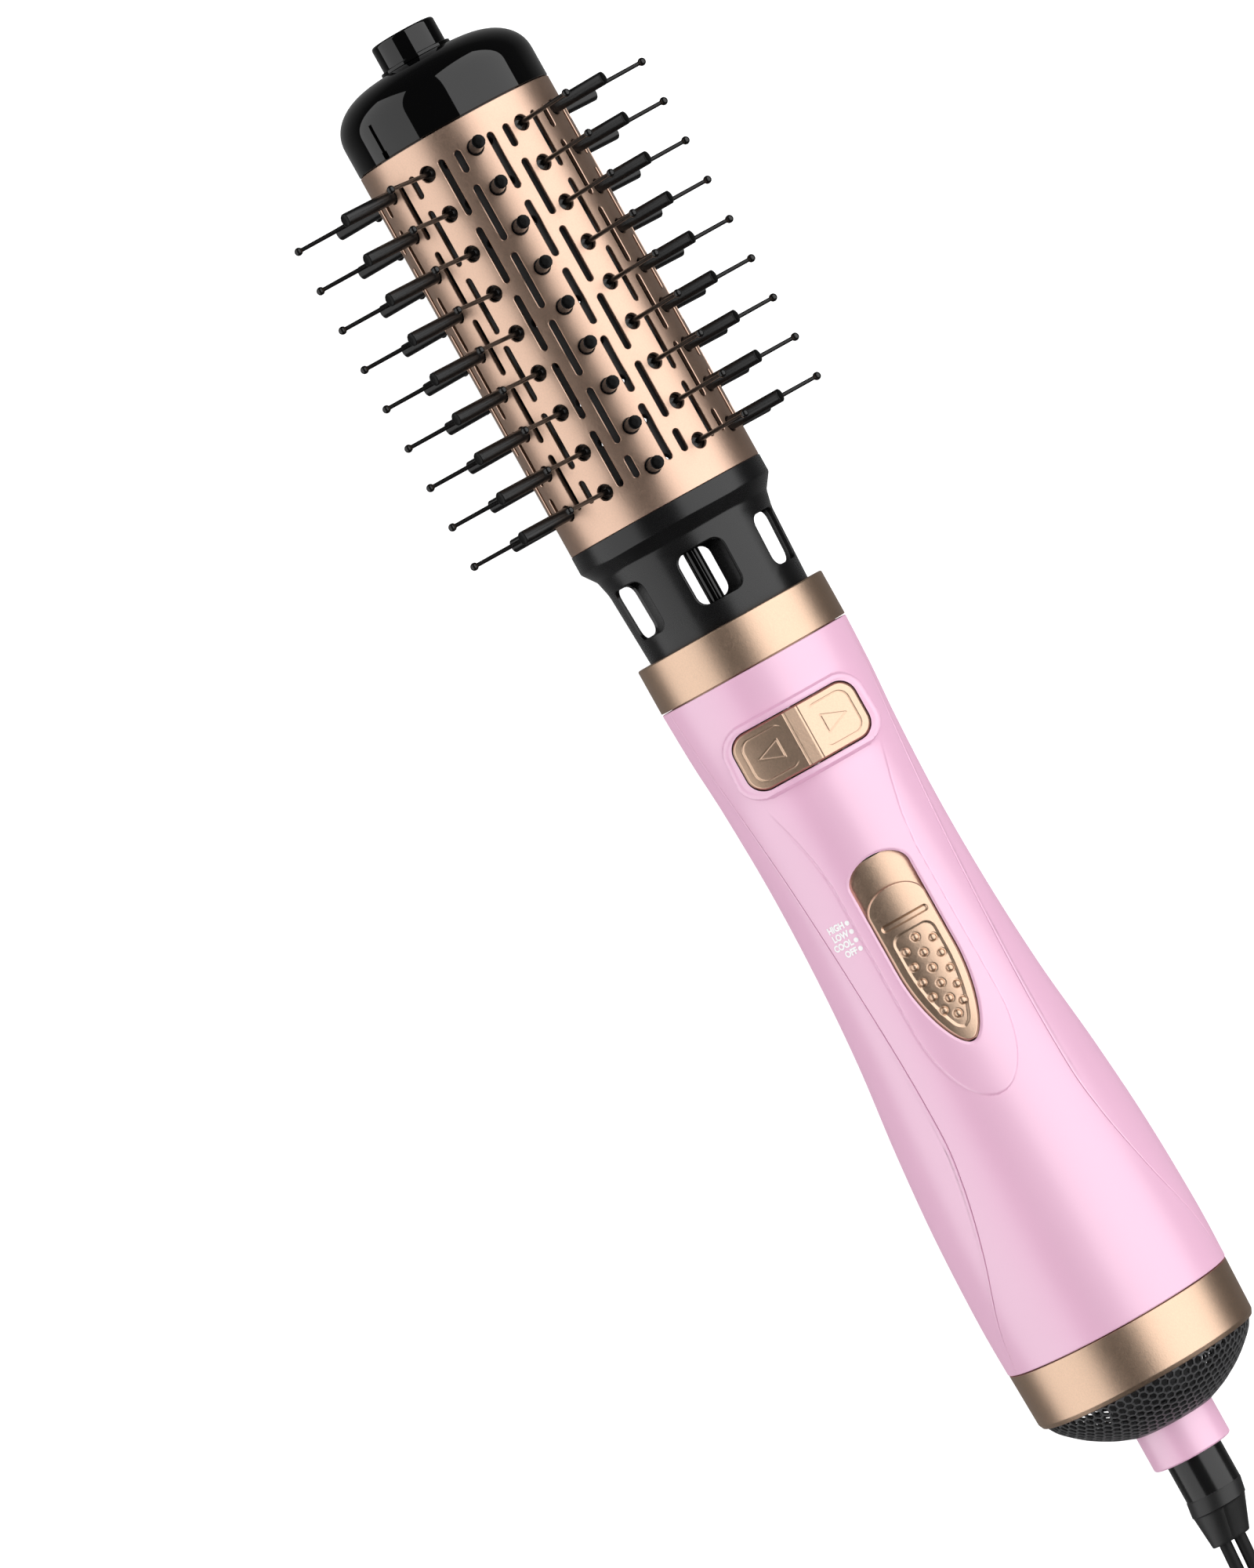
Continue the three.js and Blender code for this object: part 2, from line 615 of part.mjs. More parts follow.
function fanMotor() {
  const [start, end] = [292, 317];
  const can = turned([
    [start, 0], [start, 5], [start + 1.5, 5], [start + 1.5, 12], [end, 12], [end, 0],
  ], 24);
  return cut(can, disc(303, end + 1, 1.5, 10));
}

function fan() {
  const blade = new THREE.BoxGeometry(11, 1, 14.2).rotateZ(38 * DEG).translate(-326, 0, 15.4);
  const hub = turned([[319.5, 0], [319.5, 8], [321, 9], [331.5, 9], [331.5, 0]], 18);
  return join(hub, disc(306, 320, 1.15, 10), ...ring(blade, 7));
}

function buildHeaterAndFan() {
  place('heat_shield', tube(175.4, 238, 16.9, 17.5), STEEL);
  place('heater_frame', heaterFrame(), MICA);
  place('heater_coil', heaterCoil(), STEEL);
  place('thermostat', block([186, 194], [-3, 3], [7, 10.4]), STEEL);
  place('fan_duct', fanDuct(), GREY_PLASTIC);
  place('fan_motor', fanMotor(), STEEL);
  place('fan', fan(), SATIN_BLACK);
}

// Mains lead

// The boot's rear half narrows to the flat lead and leans to one side.
function swivelBoot() {
  const { start, flangeEnd, radius, wedge, end, lean } = BOOT;
  const stem = turned([
    [start, 0], [start, 9], [flangeEnd, 9], [flangeEnd, radius], [wedge, radius], [wedge, 0],
  ], 20);
  const tail = disc(0, end - wedge, radius, 20);
  const position = tail.getAttribute('position');
  for (let i = 0; i < position.count; i += 1) {
    const part = -position.getX(i) / (end - wedge);
    position.setY(i, position.getY(i) * (1 - 0.38 * part) + part * (end - wedge) * Math.tan(lean * DEG));
    position.setZ(i, position.getZ(i) * (1 - 0.62 * part));
  }
  return join(stem, tail.translate(-wedge + 0.01, 0, 0));
}

function cordAlong(route) {
  const path = new THREE.CatmullRomCurve3(route.map((point) => new THREE.Vector3(...point)));
  const [half, edge, side] = [CORD.width / 2, CORD.thickness / 2, 1.9];
  const section = outline([[edge, -side], [edge, side], [0.7, half], [-0.7, half], [-edge, side],
    [-edge, -side], [-0.7, -half], [0.7, -half]]);
  const steps = Math.round(path.getLength() / 9);
  return new THREE.ExtrudeGeometry(section, { extrudePath: path, steps });
}

// The hank's plan: two round folds, drawn in at the tie. The lead joins and leaves its outermost
// turn at two square corners of the nearer fold.
function hankShape() {
  const { halfRun, fold, pinch, tab } = HANK;
  const waist = (x) => fold - pinch * (0.5 + 0.5 * Math.cos((Math.PI * x) / halfRun));
  const run = [-0.75, -0.5, -0.25, 0, 0.25, 0.5, 0.75].map((part) => part * halfRun);
  const inside = Math.asin((fold - tab) / fold);
  const corner = halfRun + fold * Math.cos(inside);
  const shape = new THREE.Shape();
  shape.moveTo(corner, -fold);
  shape.absarc(halfRun, 0, fold, -inside, inside);
  shape.lineTo(corner, fold);
  shape.lineTo(halfRun, fold);
  [...run].reverse().forEach((x) => shape.lineTo(x, waist(x)));
  shape.absarc(-halfRun, 0, fold, 90 * DEG, 270 * DEG);
  run.forEach((x) => shape.lineTo(x, -waist(x)));
  shape.lineTo(halfRun, -fold);
  return shape;
}

function cordHank() {
  return raised(hankShape(), HANK.low, HANK.top, 10).translate(HANK.centre, 0, 0);
}

function cordTie() {
  const { width, thickness, half } = TIE;
  const [low, high] = [HANK.low - GAP, HANK.top + GAP];
  const halfX = width / 2;
  const centre = -HANK.centre;
  const outside = block([centre - halfX, centre + halfX], [-half - thickness, half + thickness],
    [low - thickness, high + thickness]);
  const inside = block([centre - width, centre + width], [-half, half], [low, high]);
  return cut(outside, inside);
}

function plugBody() {
  const { length, width, height, y } = PLUG;
  const shape = new THREE.Shape();
  shape.moveTo(0, -4);
  shape.lineTo(8, -5.5);
  shape.quadraticCurveTo(12, -width / 2, length - 9, -width / 2);
  shape.lineTo(length, -width / 2);
  shape.lineTo(length, width / 2);
  shape.lineTo(length - 9, width / 2);
  shape.quadraticCurveTo(12, width / 2, 8, 5.5);
  shape.lineTo(0, 4);
  return raised(shape, 0, height, 4).translate(PLUG.start, y, 0);
}

function plugBlade(side) {
  const front = PLUG.start + PLUG.length + GAP;
  const y = PLUG.y + (side * BLADE.spacing) / 2;
  const [halfX, halfY, halfZ] = [BLADE.length, BLADE.thickness, BLADE.width].map((size) => size / 2);
  const blade = block([-halfX, halfX], [-halfY, halfY], [-halfZ, halfZ]);
  const eye = new THREE.CylinderGeometry(BLADE.eye, BLADE.eye, BLADE.thickness + 2, 8);
  const holed = cut(blade, eye.translate(halfX - BLADE.eyeFromEnd, 0, 0));
  return holed.translate(front + halfX, y, PLUG.height / 2);
}

function buildLead() {
  place('swivel_boot', swivelBoot(), RUBBER);
  place('cord_lead', cordAlong(LEAD_ROUTE), RUBBER, root);
  place('cord_hank', cordHank(), RUBBER, root);
  place('cord_tail', cordAlong(TAIL_ROUTE), RUBBER, root);
  place('cord_tie', cordTie(), RUBBER, root);
  place('plug_body', plugBody(), RUBBER, root);
  place('plug_blade_1', plugBlade(-1), STEEL, root);
  place('plug_blade_2', plugBlade(1), STEEL, root);
}

// Lays the brush down so that its rearmost lower pins and the rear ring's edge both meet the table.
function layDown() {
  const pinStation = bristleStations[BRISTLES.count - 1];
  const pinDepth = (PIN.tip - PIN.ball) * Math.cos(30 * DEG) + PIN.ball;
  const { edge, edgeRadius } = REAR_RING;
  const tilt = Math.atan((pinDepth - edgeRadius) / (edge - pinStation));
  brush.rotation.y = -tilt;
  brush.position.x = (COLLAR.end / 2) * Math.cos(tilt);
  brush.updateMatrixWorld(true);
  const box = new THREE.Box3();
  brush.children.filter((mesh) => mesh.name !== 'swivel_boot')
    .forEach((mesh) => box.expandByObject(mesh, true));
  brush.position.x -= (box.min.x + box.max.x) / 2;
  brush.position.z -= box.min.z;
}

buildHead();
buildDrive();
buildHandle();
buildControls();
buildHeaterAndFan();
buildLead();
layDown();

export default root;
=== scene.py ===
"""The looks of a rotating hot air brush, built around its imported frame.

A station is the distance in millimetres behind the face of the cool tip, measured along the brush.
In the brush's own axes x is minus the station, z points from the axis to the controls, and an angle
is turned about +X from the controls. The mains lead is given in the world's own axes.
"""

import math

import bmesh
import bpy
import numpy as np
from mathutils import Matrix, Vector
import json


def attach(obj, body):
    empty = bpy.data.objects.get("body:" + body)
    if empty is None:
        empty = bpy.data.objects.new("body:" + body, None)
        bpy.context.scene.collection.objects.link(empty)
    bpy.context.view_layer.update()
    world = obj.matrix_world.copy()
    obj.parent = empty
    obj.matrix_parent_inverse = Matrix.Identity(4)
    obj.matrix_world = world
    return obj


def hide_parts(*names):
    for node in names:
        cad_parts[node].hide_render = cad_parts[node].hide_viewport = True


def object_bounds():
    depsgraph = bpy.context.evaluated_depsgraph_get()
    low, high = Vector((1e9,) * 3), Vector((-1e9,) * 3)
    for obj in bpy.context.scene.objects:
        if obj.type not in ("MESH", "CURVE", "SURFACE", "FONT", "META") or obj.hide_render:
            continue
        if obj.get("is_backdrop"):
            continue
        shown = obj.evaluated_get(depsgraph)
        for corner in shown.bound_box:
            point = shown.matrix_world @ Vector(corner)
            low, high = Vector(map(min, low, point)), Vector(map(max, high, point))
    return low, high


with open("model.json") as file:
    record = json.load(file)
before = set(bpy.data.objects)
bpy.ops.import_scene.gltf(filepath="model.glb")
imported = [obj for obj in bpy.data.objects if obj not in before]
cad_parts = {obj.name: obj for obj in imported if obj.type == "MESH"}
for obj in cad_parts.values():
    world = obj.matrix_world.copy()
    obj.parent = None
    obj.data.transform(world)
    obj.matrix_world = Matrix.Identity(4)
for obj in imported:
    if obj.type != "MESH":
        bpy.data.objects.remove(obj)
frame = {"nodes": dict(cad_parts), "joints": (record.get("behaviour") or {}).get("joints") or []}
CAD_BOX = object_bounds()

MM = 0.001
NODES = frame["nodes"]
JOINTS = {joint["name"]: joint for joint in frame["joints"]}
AXIS = Vector(JOINTS["barrel_spin"]["axis"]).normalized()
ORIGIN = Vector(JOINTS["barrel_spin"]["pos_m"])
SIDE = Vector((0, 1, 0))
TOP = AXIS.cross(SIDE)


def axes(x, y, z, origin):
    turned = Matrix((x, y, z)).transposed().to_4x4()
    turned.translation = origin
    return turned


BRUSH = axes(AXIS, SIDE, TOP, ORIGIN)
WORLD = Matrix.Identity(4)

# Sizes that several pieces share, in millimetres
BARREL_RADIUS = 25.0
BARREL_INNER = 24.0
BRISTLE_STATIONS = [33.1 + 10.5 * i for i in range(9)]
HANDLE_RADII = [
    (168.9, 24.45), (182, 24.0), (196.7, 23.1), (218, 22.53), (240.7, 23.0),
    (262.6, 24.36), (284.6, 26.74), (306.6, 28.48), (328.6, 29.2), (343, 29.0),
]
SEAM_ANGLES = [
    (168.9, 74), (192, 67), (240, 51), (279, 40), (297, 41), (315.4, 50.5), (332, 66), (343, 74),
]
ROCKER_STATION = 188.4
ROCKER_SIZE = (14.3, 32.0, 4.2)
OPENING_SIZE = (14.9, 32.6, 4.4)
RIM_SIZE = (18.1, 35.2, 5.8)
SLIDER = (228.2, 268.7, 7.4)
RECESS = (220.2, 269.1, 7.75)
TRACK = (220.26, 269.04, 7.7)
ISLAND_HALF = [(197, 16.2), (207, 13.3), (215.2, 11.5), (223.1, 10.7), (261, 10.8)]
ISLAND_END = (261, 21.5)
CORD_WIDTH = 6.0
CORD_CORE = 1.55
SCREW_STATION = 276
SCREW_Y = (-12, 12)


def add_object(name, data):
    thing = bpy.data.objects.new(name, data)
    bpy.context.scene.collection.objects.link(thing)
    return thing


# Camera

# The station the camera stands over, its distance in metres, and millimetres on its sensor
CAMERA_STATION = 146
CAMERA_DISTANCE = 2.06
LENS = 202.5
SHIFT_RIGHT = 1.818
SHIFT_UP = 4.698


def view_axes():
    """Towards the camera, the picture's right and the picture's up."""
    lean = math.radians(4.8)
    turn = math.radians(29.17)
    towards = math.cos(lean) * TOP + math.sin(lean) * SIDE
    across = towards.cross(AXIS)
    right = -math.sin(turn) * AXIS - math.cos(turn) * across
    up = math.cos(turn) * AXIS - math.sin(turn) * across
    return towards, right, up


def place_camera():
    towards, right, up = view_axes()
    foot = ORIGIN - AXIS * CAMERA_STATION * MM
    aim = (-towards * LENS - right * SHIFT_RIGHT - up * SHIFT_UP).normalized()
    x = aim.cross(up).normalized()
    camera = add_object("camera", bpy.data.cameras.new("camera"))
    camera.matrix_world = axes(x, x.cross(aim), -aim, foot + towards * CAMERA_DISTANCE)
    camera.data.sensor_width = 36
    camera.data.lens = LENS
    camera.data.clip_start = 0.05
    camera.data.clip_end = 100
    bpy.context.scene.camera = camera


# Lights and floor


def panel(name, angle, half_angle, radiance, shine, length=3.7, distance=1.3, ahead=0.6):
    """A long soft light beside the brush, seen at that angle to the picture's right of the camera."""
    towards, right, up = view_axes()
    sideways = AXIS.cross(towards)
    turn = math.radians(angle)
    out = math.cos(turn) * towards + math.sin(turn) * sideways
    light = bpy.data.lights.new(name, "AREA")
    light.shape = "RECTANGLE"
    light.size = 2 * distance * math.tan(math.radians(half_angle))
    light.size_y = length
    light.energy = radiance * math.pi * light.size * light.size_y
    lamp = add_object(name, light)
    middle = ORIGIN + AXIS * (ahead - 0.2)
    lamp.matrix_world = axes(AXIS.cross(out), AXIS, out, middle + out * distance)
    lamp.visible_camera = False
    lamp.visible_diffuse = not shine
    lamp.visible_glossy = shine


def place_lights():
    panel("reflected_left", -72, 34, 1.3, True)
    panel("reflected_right", 51.5, 39.5, 1.8, True)
    panel("soft_top", 26, 38, 1.64, False, length=3.0, ahead=0)
    panel("soft_right", 74, 25, 0.62, False, length=3.0, ahead=0)
    panel("soft_left", -76, 25, 1.66, False, length=3.0, ahead=0.5)


def set_inputs(node, **values):
    """Sets the node's inputs; underscores stand for the spaces in their names."""
    for name, value in values.items():
        node.inputs[name.replace("_", " ")].default_value = value


def add_node(tree, kind, **values):
    node = tree.nodes.new(f"ShaderNode{kind}")
    set_inputs(node, **values)
    return node


def make_world():
    """Dim above and a little paler below for reflections, white where the camera sees past the floor."""
    world = bpy.data.worlds.new("studio")
    bpy.context.scene.world = world
    world.use_nodes = True
    tree = world.node_tree
    tree.nodes.clear()
    output, mix = add_node(tree, "OutputWorld"), add_node(tree, "MixShader")
    rays, place = add_node(tree, "LightPath"), add_node(tree, "TexCoord")
    split = add_node(tree, "SeparateXYZ")
    fade = add_node(tree, "MapRange", From_Min=-0.95, From_Max=-0.35, To_Min=0.24, To_Max=0.045)
    dim, white = add_node(tree, "Background"), add_node(tree, "Background")
    for source, target in (
        (place.outputs["Generated"], split.inputs[0]),
        (split.outputs["Z"], fade.inputs["Value"]),
        (fade.outputs["Result"], dim.inputs["Strength"]),
        (rays.outputs["Is Camera Ray"], mix.inputs[0]),
        (dim.outputs[0], mix.inputs[1]),
        (white.outputs[0], mix.inputs[2]),
        (mix.outputs[0], output.inputs["Surface"]),
    ):
        tree.links.new(source, target)


def make_floor():
    mesh = bpy.data.meshes.new("floor")
    size = 30
    corners = [(-size, -size, 0), (size, -size, 0), (size, size, 0), (-size, size, 0)]
    mesh.from_pydata(corners, [], [(0, 1, 2, 3)])
    floor = add_object("floor", mesh)
    floor.visible_glossy = False
    floor.visible_shadow = False
    material = bpy.data.materials.new("floor")
    material.use_nodes = True
    set_inputs(
        material.node_tree.nodes["Principled BSDF"], Base_Color=(0.5, 0.5, 0.5, 1), Roughness=1,
        Specular_IOR_Level=0, Emission_Color=(1, 1, 1, 1), Emission_Strength=0.9,
    )
    mesh.materials.append(material)
    floor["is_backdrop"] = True


# Materials


def surface(
    name, colour, roughness, metallic=0.0, specular=0.5, mottle=0.04, mottle_scale=120,
    rough_change=0.05, grain=0.0, grain_scale=3000, grain_depth=0.02, ior=1.5, stretch=(1, 1, 1),
):
    """A procedural finish: a slightly uneven colour and roughness, and a fine grain in the shape.
    Scales are per metre and the grain's depth is in millimetres."""
    material = bpy.data.materials.new(name)
    material.use_nodes = True
    tree = material.node_tree
    link = tree.links.new
    shader = tree.nodes["Principled BSDF"]
    set_inputs(shader, Metallic=metallic, Specular_IOR_Level=specular, IOR=ior)
    place = add_node(tree, "TexCoord")
    spread = add_node(tree, "Mapping", Scale=stretch)
    link(place.outputs["Object"], spread.inputs["Vector"])

    def noise(scale, detail):
        node = add_node(tree, "TexNoise", Scale=scale, Detail=detail)
        link(spread.outputs["Vector"], node.inputs["Vector"])
        return node.outputs["Fac"]

    def ramp(source, ends, target):
        node = add_node(tree, "ValToRGB")
        for element, position, value in zip(node.color_ramp.elements, (0.3, 0.7), ends):
            element.position = position
            element.color = (*value, 1)
        link(source, node.inputs["Fac"])
        link(node.outputs["Color"], shader.inputs[target])

    uneven, fine = noise(mottle_scale, 5), noise(grain_scale, 3)
    both = add_node(tree, "Mix", Factor=0.5)
    link(uneven, both.inputs["A"])
    link(fine, both.inputs["B"])
    shades = [[channel * (1 + change) for channel in colour] for change in (-mottle, mottle)]
    ramp(both.outputs["Result"], shades, "Base Color")
    smooth, rough = max(0.02, roughness - rough_change), min(1.0, roughness + rough_change)
    ramp(both.outputs["Result"], ([smooth] * 3, [rough] * 3), "Roughness")
    if grain:
        bump = add_node(tree, "Bump", Strength=grain, Distance=grain_depth * MM)
        link(fine, bump.inputs["Height"])
        link(bump.outputs["Normal"], shader.inputs["Normal"])
    return material


GLOSS_BLACK = surface("gloss_black", (0.0014, 0.0014, 0.0015), 0.035, rough_change=0.012, specular=0.5)
SATIN_BLACK = surface(
    "satin_black", (0.0038, 0.0038, 0.004), 0.26, grain=0.3, grain_scale=5000, mottle=0.15)
MATTE_BLACK = surface("matte_black", (0.012, 0.012, 0.0125), 0.55, grain=0.4, grain_scale=4000, mottle=0.2)
PIN_NYLON = surface("pin_nylon", (0.003, 0.0027, 0.0026), 0.2, mottle=0.2, grain_scale=2500)
TUFT_NYLON = surface(
    "tuft_nylon", (0.004, 0.004, 0.0041), 0.23, specular=0.45, mottle=0.35, mottle_scale=900, grain=0.3,
    grain_scale=5000, grain_depth=0.03,
)
# A near-black copy of the tuft material for the tufts' end faces: painted shade that darkens the tops,
# which face away from the lights.
TUFT_ENDS_PAINTED_SHADE = surface("tuft_ends_painted_shade", (0.001, 0.001, 0.001), 0.3, specular=0.15, mottle=0.3, mottle_scale=3000)
ROSE_GOLD = surface(
    "rose_gold", (0.70, 0.482, 0.366), 0.37, metallic=1.0, mottle=0.08, mottle_scale=2200,
    grain=0.8, grain_scale=3000, grain_depth=0.02,
)
GOLD_TRIM = surface(
    "gold_trim", (0.69, 0.487, 0.356), 0.36, metallic=1.0, mottle=0.09, mottle_scale=2200,
    grain=0.9, grain_scale=3000, grain_depth=0.025,
)
PINK = surface(
    "pink", (0.80, 0.447, 0.625), 0.36, specular=1.0, ior=1.72, mottle=0.008, mottle_scale=60,
    rough_change=0.02, grain=0.08, grain_scale=2500, grain_depth=0.01,
)
LABEL_WHITE = surface("label_white", (0.97, 0.95, 0.96), 0.5, mottle=0.02)
RUBBER = surface("rubber", (0.0055, 0.0055, 0.0056), 0.2, mottle=0.1, grain_scale=3000)
LEAD_BLACK = surface(
    "lead_black", (0.005, 0.005, 0.0051), 0.55, specular=0.22, mottle=0.15, grain_scale=4000)
RUBBER_MATTE = surface(
    "rubber_matte", (0.0075, 0.0075, 0.0076), 0.42, mottle=0.15, grain=0.3, grain_scale=4000)
CORE_BLACK = surface("core_black", (0.035, 0.035, 0.036), 0.5, mottle=0.15, grain=0.2)
MESH_BLACK = surface("mesh_black", (0.055, 0.055, 0.057), 0.42, mottle=0.12, grain=0.2, grain_scale=3000)
BRASS = surface("brass", (0.78, 0.58, 0.28), 0.22, metallic=1.0, mottle=0.1, mottle_scale=700, grain=0.2)
STEEL = surface("steel", (0.5, 0.5, 0.51), 0.3, metallic=1.0, mottle=0.08, stretch=(0.1, 1, 1), grain=0.2)
ROD_BLACK = surface("rod_black", (0.003, 0.003, 0.003), 0.08, mottle=0.1, stretch=(0.1, 1, 1))
FOIL = surface("foil", (0.7, 0.71, 0.72), 0.35, metallic=1.0, mottle=0.08, grain=0.3)
MICA = surface("mica", (0.45, 0.34, 0.2), 0.6, mottle=0.25, mottle_scale=500)
BOARD = surface("board", (0.02, 0.12, 0.05), 0.4, mottle=0.2, mottle_scale=800)
GREY = surface("grey_plastic", (0.05, 0.053, 0.056), 0.5, mottle=0.1, grain=0.3)
NYLON = surface("nylon", (0.78, 0.76, 0.7), 0.45, mottle=0.04, grain=0.2)


# Mesh helpers


def mesh_of(name, verts, faces, weld=1e-7, dissolve=0):
    """A mesh from millimetres, welded where points meet, whose faces all look outwards."""
    mesh = bpy.data.meshes.new(name)
    mesh.from_pydata((np.asarray(verts, float) * MM).tolist(), [], [list(face) for face in faces])
    tidy = bmesh.new()
    tidy.from_mesh(mesh)
    if weld:
        bmesh.ops.remove_doubles(tidy, verts=tidy.verts, dist=weld)
    if dissolve:
        bmesh.ops.dissolve_degenerate(tidy, edges=tidy.edges, dist=dissolve)
    bmesh.ops.recalc_face_normals(tidy, faces=tidy.faces)
    tidy.to_mesh(mesh)
    tidy.free()
    return mesh


def piece(name, verts, faces, material, body, finish, nodes=(), matrix=BRUSH, crease=38):
    """A finished piece from points in millimetres and faces."""
    return dress(mesh_of(name, verts, faces), name, material, body, finish, nodes, matrix, crease)


def dress(mesh, name, material, body, finish, nodes, matrix=BRUSH, crease=38, normals=None):
    """Puts a mesh in the scene as a piece that rides on a body and stands for its frame nodes.
    normals gives a true normal, or zeros, for each corner of each face, in the faces' own order."""
    mesh.shade_smooth()
    mesh.set_sharp_from_angle(angle=math.radians(crease))
    mesh.materials.append(material)
    thing = add_object(name, mesh)
    thing.matrix_world = matrix
    if normals is None:
        weighted = thing.modifiers.new("weighted_normals", "WEIGHTED_NORMAL")
        weighted.keep_sharp = True
    else:
        mesh.normals_split_custom_set(normals.tolist())
    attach(thing, body)
    if nodes:
        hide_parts(*nodes)
    return thing


class Solid:
    """Collects the parts of one mesh."""

    def __init__(self):
        self.verts = []
        self.faces = []

    def add(self, verts, faces, move=None):
        start = len(self.verts)
        for vert in verts:
            self.verts.append(tuple(move(vert)) if move else tuple(vert))
        self.faces += [[start + i for i in face] for face in faces]
        return self


def circle(sides):
    """Evenly spaced angles of a full turn, in radians."""
    return [2 * math.pi * i / sides for i in range(sides)]


def polar(station, radius, degrees):
    turn = math.radians(degrees)
    return (-station, -radius * math.sin(turn), radius * math.cos(turn))


def spun(points, degrees):
    """The points turned about the brush's axis."""
    cos, sin = math.cos(math.radians(degrees)), math.sin(math.radians(degrees))
    return [(x, y * cos - z * sin, y * sin + z * cos) for x, y, z in points]


def rounded(corners, steps=5):
    """The [station, radius, fillet] corners of a closed outline, with each fillet drawn as an arc."""
    points = []
    for i, (s, r, fillet) in enumerate(corners):
        here = np.array([s, r], float)
        if fillet <= 0:
            points.append(here)
            continue
        before = np.array(corners[i - 1][:2], float) - here
        after = np.array(corners[(i + 1) % len(corners)][:2], float) - here
        lengths = np.linalg.norm(before), np.linalg.norm(after)
        before, after = before / lengths[0], after / lengths[1]
        half = math.acos(float(np.clip(before @ after, -1, 1))) / 2
        reach = min(fillet / math.tan(half), 0.48 * min(lengths))
        radius = reach * math.tan(half)
        bisector = (before + after) / np.linalg.norm(before + after)
        centre = here + bisector * radius / math.sin(half)
        first, last = here + before * reach - centre, here + after * reach - centre
        for j in range(steps + 1):
            mixed = first * (1 - j / steps) + last * j / steps
            points.append(centre + mixed / np.linalg.norm(mixed) * radius)
    return [tuple(point) for point in points]


def lathe(outline, sides=96):
    """A solid of revolution about the brush's axis from a closed outline of stations and radii."""
    verts, rings = [], []
    for s, r in outline:
        if r < 1e-6:
            rings.append([len(verts)] * sides)
            verts.append((-s, 0, 0))
            continue
        rings.append(list(range(len(verts), len(verts) + sides)))
        verts += [polar(s, r, 360 * i / sides) for i in range(sides)]
    faces = []
    for ring, other in zip(rings, rings[1:] + rings[:1]):
        if ring[0] == ring[1] and other[0] == other[1]:
            continue
        for i in range(sides):
            j = (i + 1) % sides
            faces.append(list(dict.fromkeys([ring[i], ring[j], other[j], other[i]])))
    return verts, faces


def turned(name, outline, material, body, finish, nodes, sides=96, steps=5):
    verts, faces = lathe(rounded(outline, steps), sides)
    return piece(name, verts, faces, material, body, finish, nodes)


def loft(rings, closed=False):
    """A skin over rings of equally many points, capped at both ends or closed on itself."""
    count, sides = len(rings), len(rings[0])
    verts = [tuple(point) for ring in rings for point in ring]
    faces = []
    for k in range(count if closed else count - 1):
        here, ahead = k * sides, (k + 1) % count * sides
        for i in range(sides):
            j = (i + 1) % sides
            faces.append([here + i, here + j, ahead + j, ahead + i])
    if not closed:
        faces.append(list(range(sides))[::-1])
        faces.append([(count - 1) * sides + i for i in range(sides)])
    return verts, faces


def prism(outline, low, high):
    """An upright prism over a plan outline of stations and y."""
    return loft([[(-s, y, z) for s, y in outline] for z in (low, high)])


def rounded_rectangle(length, width, corner, steps=10):
    """The outline of a rectangle with rounded corners, round the origin."""
    points = []
    for quarter, (sx, sy) in enumerate(((1, 1), (-1, 1), (-1, -1), (1, -1))):
        for i in range(steps + 1):
            turn = math.pi / 2 * (quarter + i / steps)
            points.append((sx * (length / 2 - corner) + corner * math.cos(turn),
                           sy * (width / 2 - corner) + corner * math.sin(turn)))
    return points


def rounded_plan(station, length, width, corner, steps=10):
    return [(station + x, y) for x, y in rounded_rectangle(length, width, corner, steps)]


def soft_box(size, corner, steps=4):
    """A box with rounded edges, centred on the origin, as stacked rounded outlines along x."""
    length, width, height = size
    levels = []
    for i in range(steps, -1, -1):
        turn = math.pi / 2 * i / steps
        levels.append((-length / 2 + corner * (1 - math.sin(turn)), corner * (1 - math.cos(turn))))
    levels += [(-x, inset) for x, inset in levels[::-1]]
    rings = []
    for x, inset in levels:
        outline = rounded_rectangle(width - 2 * inset, height - 2 * inset, corner - inset, steps)
        rings.append([(x, y, z) for y, z in outline])
    return loft(rings)


def upright(outline, sides):
    """A solid of revolution about an upright line, from [height, radius] points that end on it."""
    verts, faces = lathe([(-z, r) for z, r in outline], sides)
    return [(y, z, x) for x, y, z in verts], faces


def helper(name, verts, faces):
    """A hidden solid for cutting others, which is removed after use."""
    return add_object(name, mesh_of(name, verts, faces))


def carve(thing, cutters):
    """The mesh of a helper with the cutters taken out of it."""
    for cutter in cutters:
        step = thing.modifiers.new(cutter.name, "BOOLEAN")
        step.operation = "DIFFERENCE"
        step.solver = "MANIFOLD"
        step.object = cutter
    bpy.context.view_layer.update()
    graph = bpy.context.evaluated_depsgraph_get()
    mesh = bpy.data.meshes.new_from_object(thing.evaluated_get(graph))
    for unused in [thing, *cutters]:
        bpy.data.objects.remove(unused)
    mesh.materials.clear()
    mesh.polygons.foreach_set("material_index", np.zeros(len(mesh.polygons), np.int32))
    return mesh


def mesh_points(mesh):
    """The mesh's corners in millimetres."""
    points = np.zeros(len(mesh.vertices) * 3)
    mesh.vertices.foreach_get("co", points)
    return points.reshape(-1, 3) / MM


def corner_normals(mesh, smooth_faces, normal_at):
    """True normals on the chosen faces' corners, and zeros, meaning the mesh's own, elsewhere."""
    loops = np.zeros(len(mesh.loops), np.int32)
    mesh.loops.foreach_get("vertex_index", loops)
    totals = np.zeros(len(mesh.polygons), np.int32)
    mesh.polygons.foreach_get("loop_total", totals)
    chosen = np.repeat(np.asarray(smooth_faces, bool), totals)
    normals = np.zeros((len(loops), 3))
    normals[chosen] = normal_at(mesh_points(mesh)[loops[chosen]])
    return normals


# Curves and distances


def smoothstep(value, low, high):
    t = np.clip((value - low) / (high - low), 0, 1)
    return t * t * (3 - 2 * t)


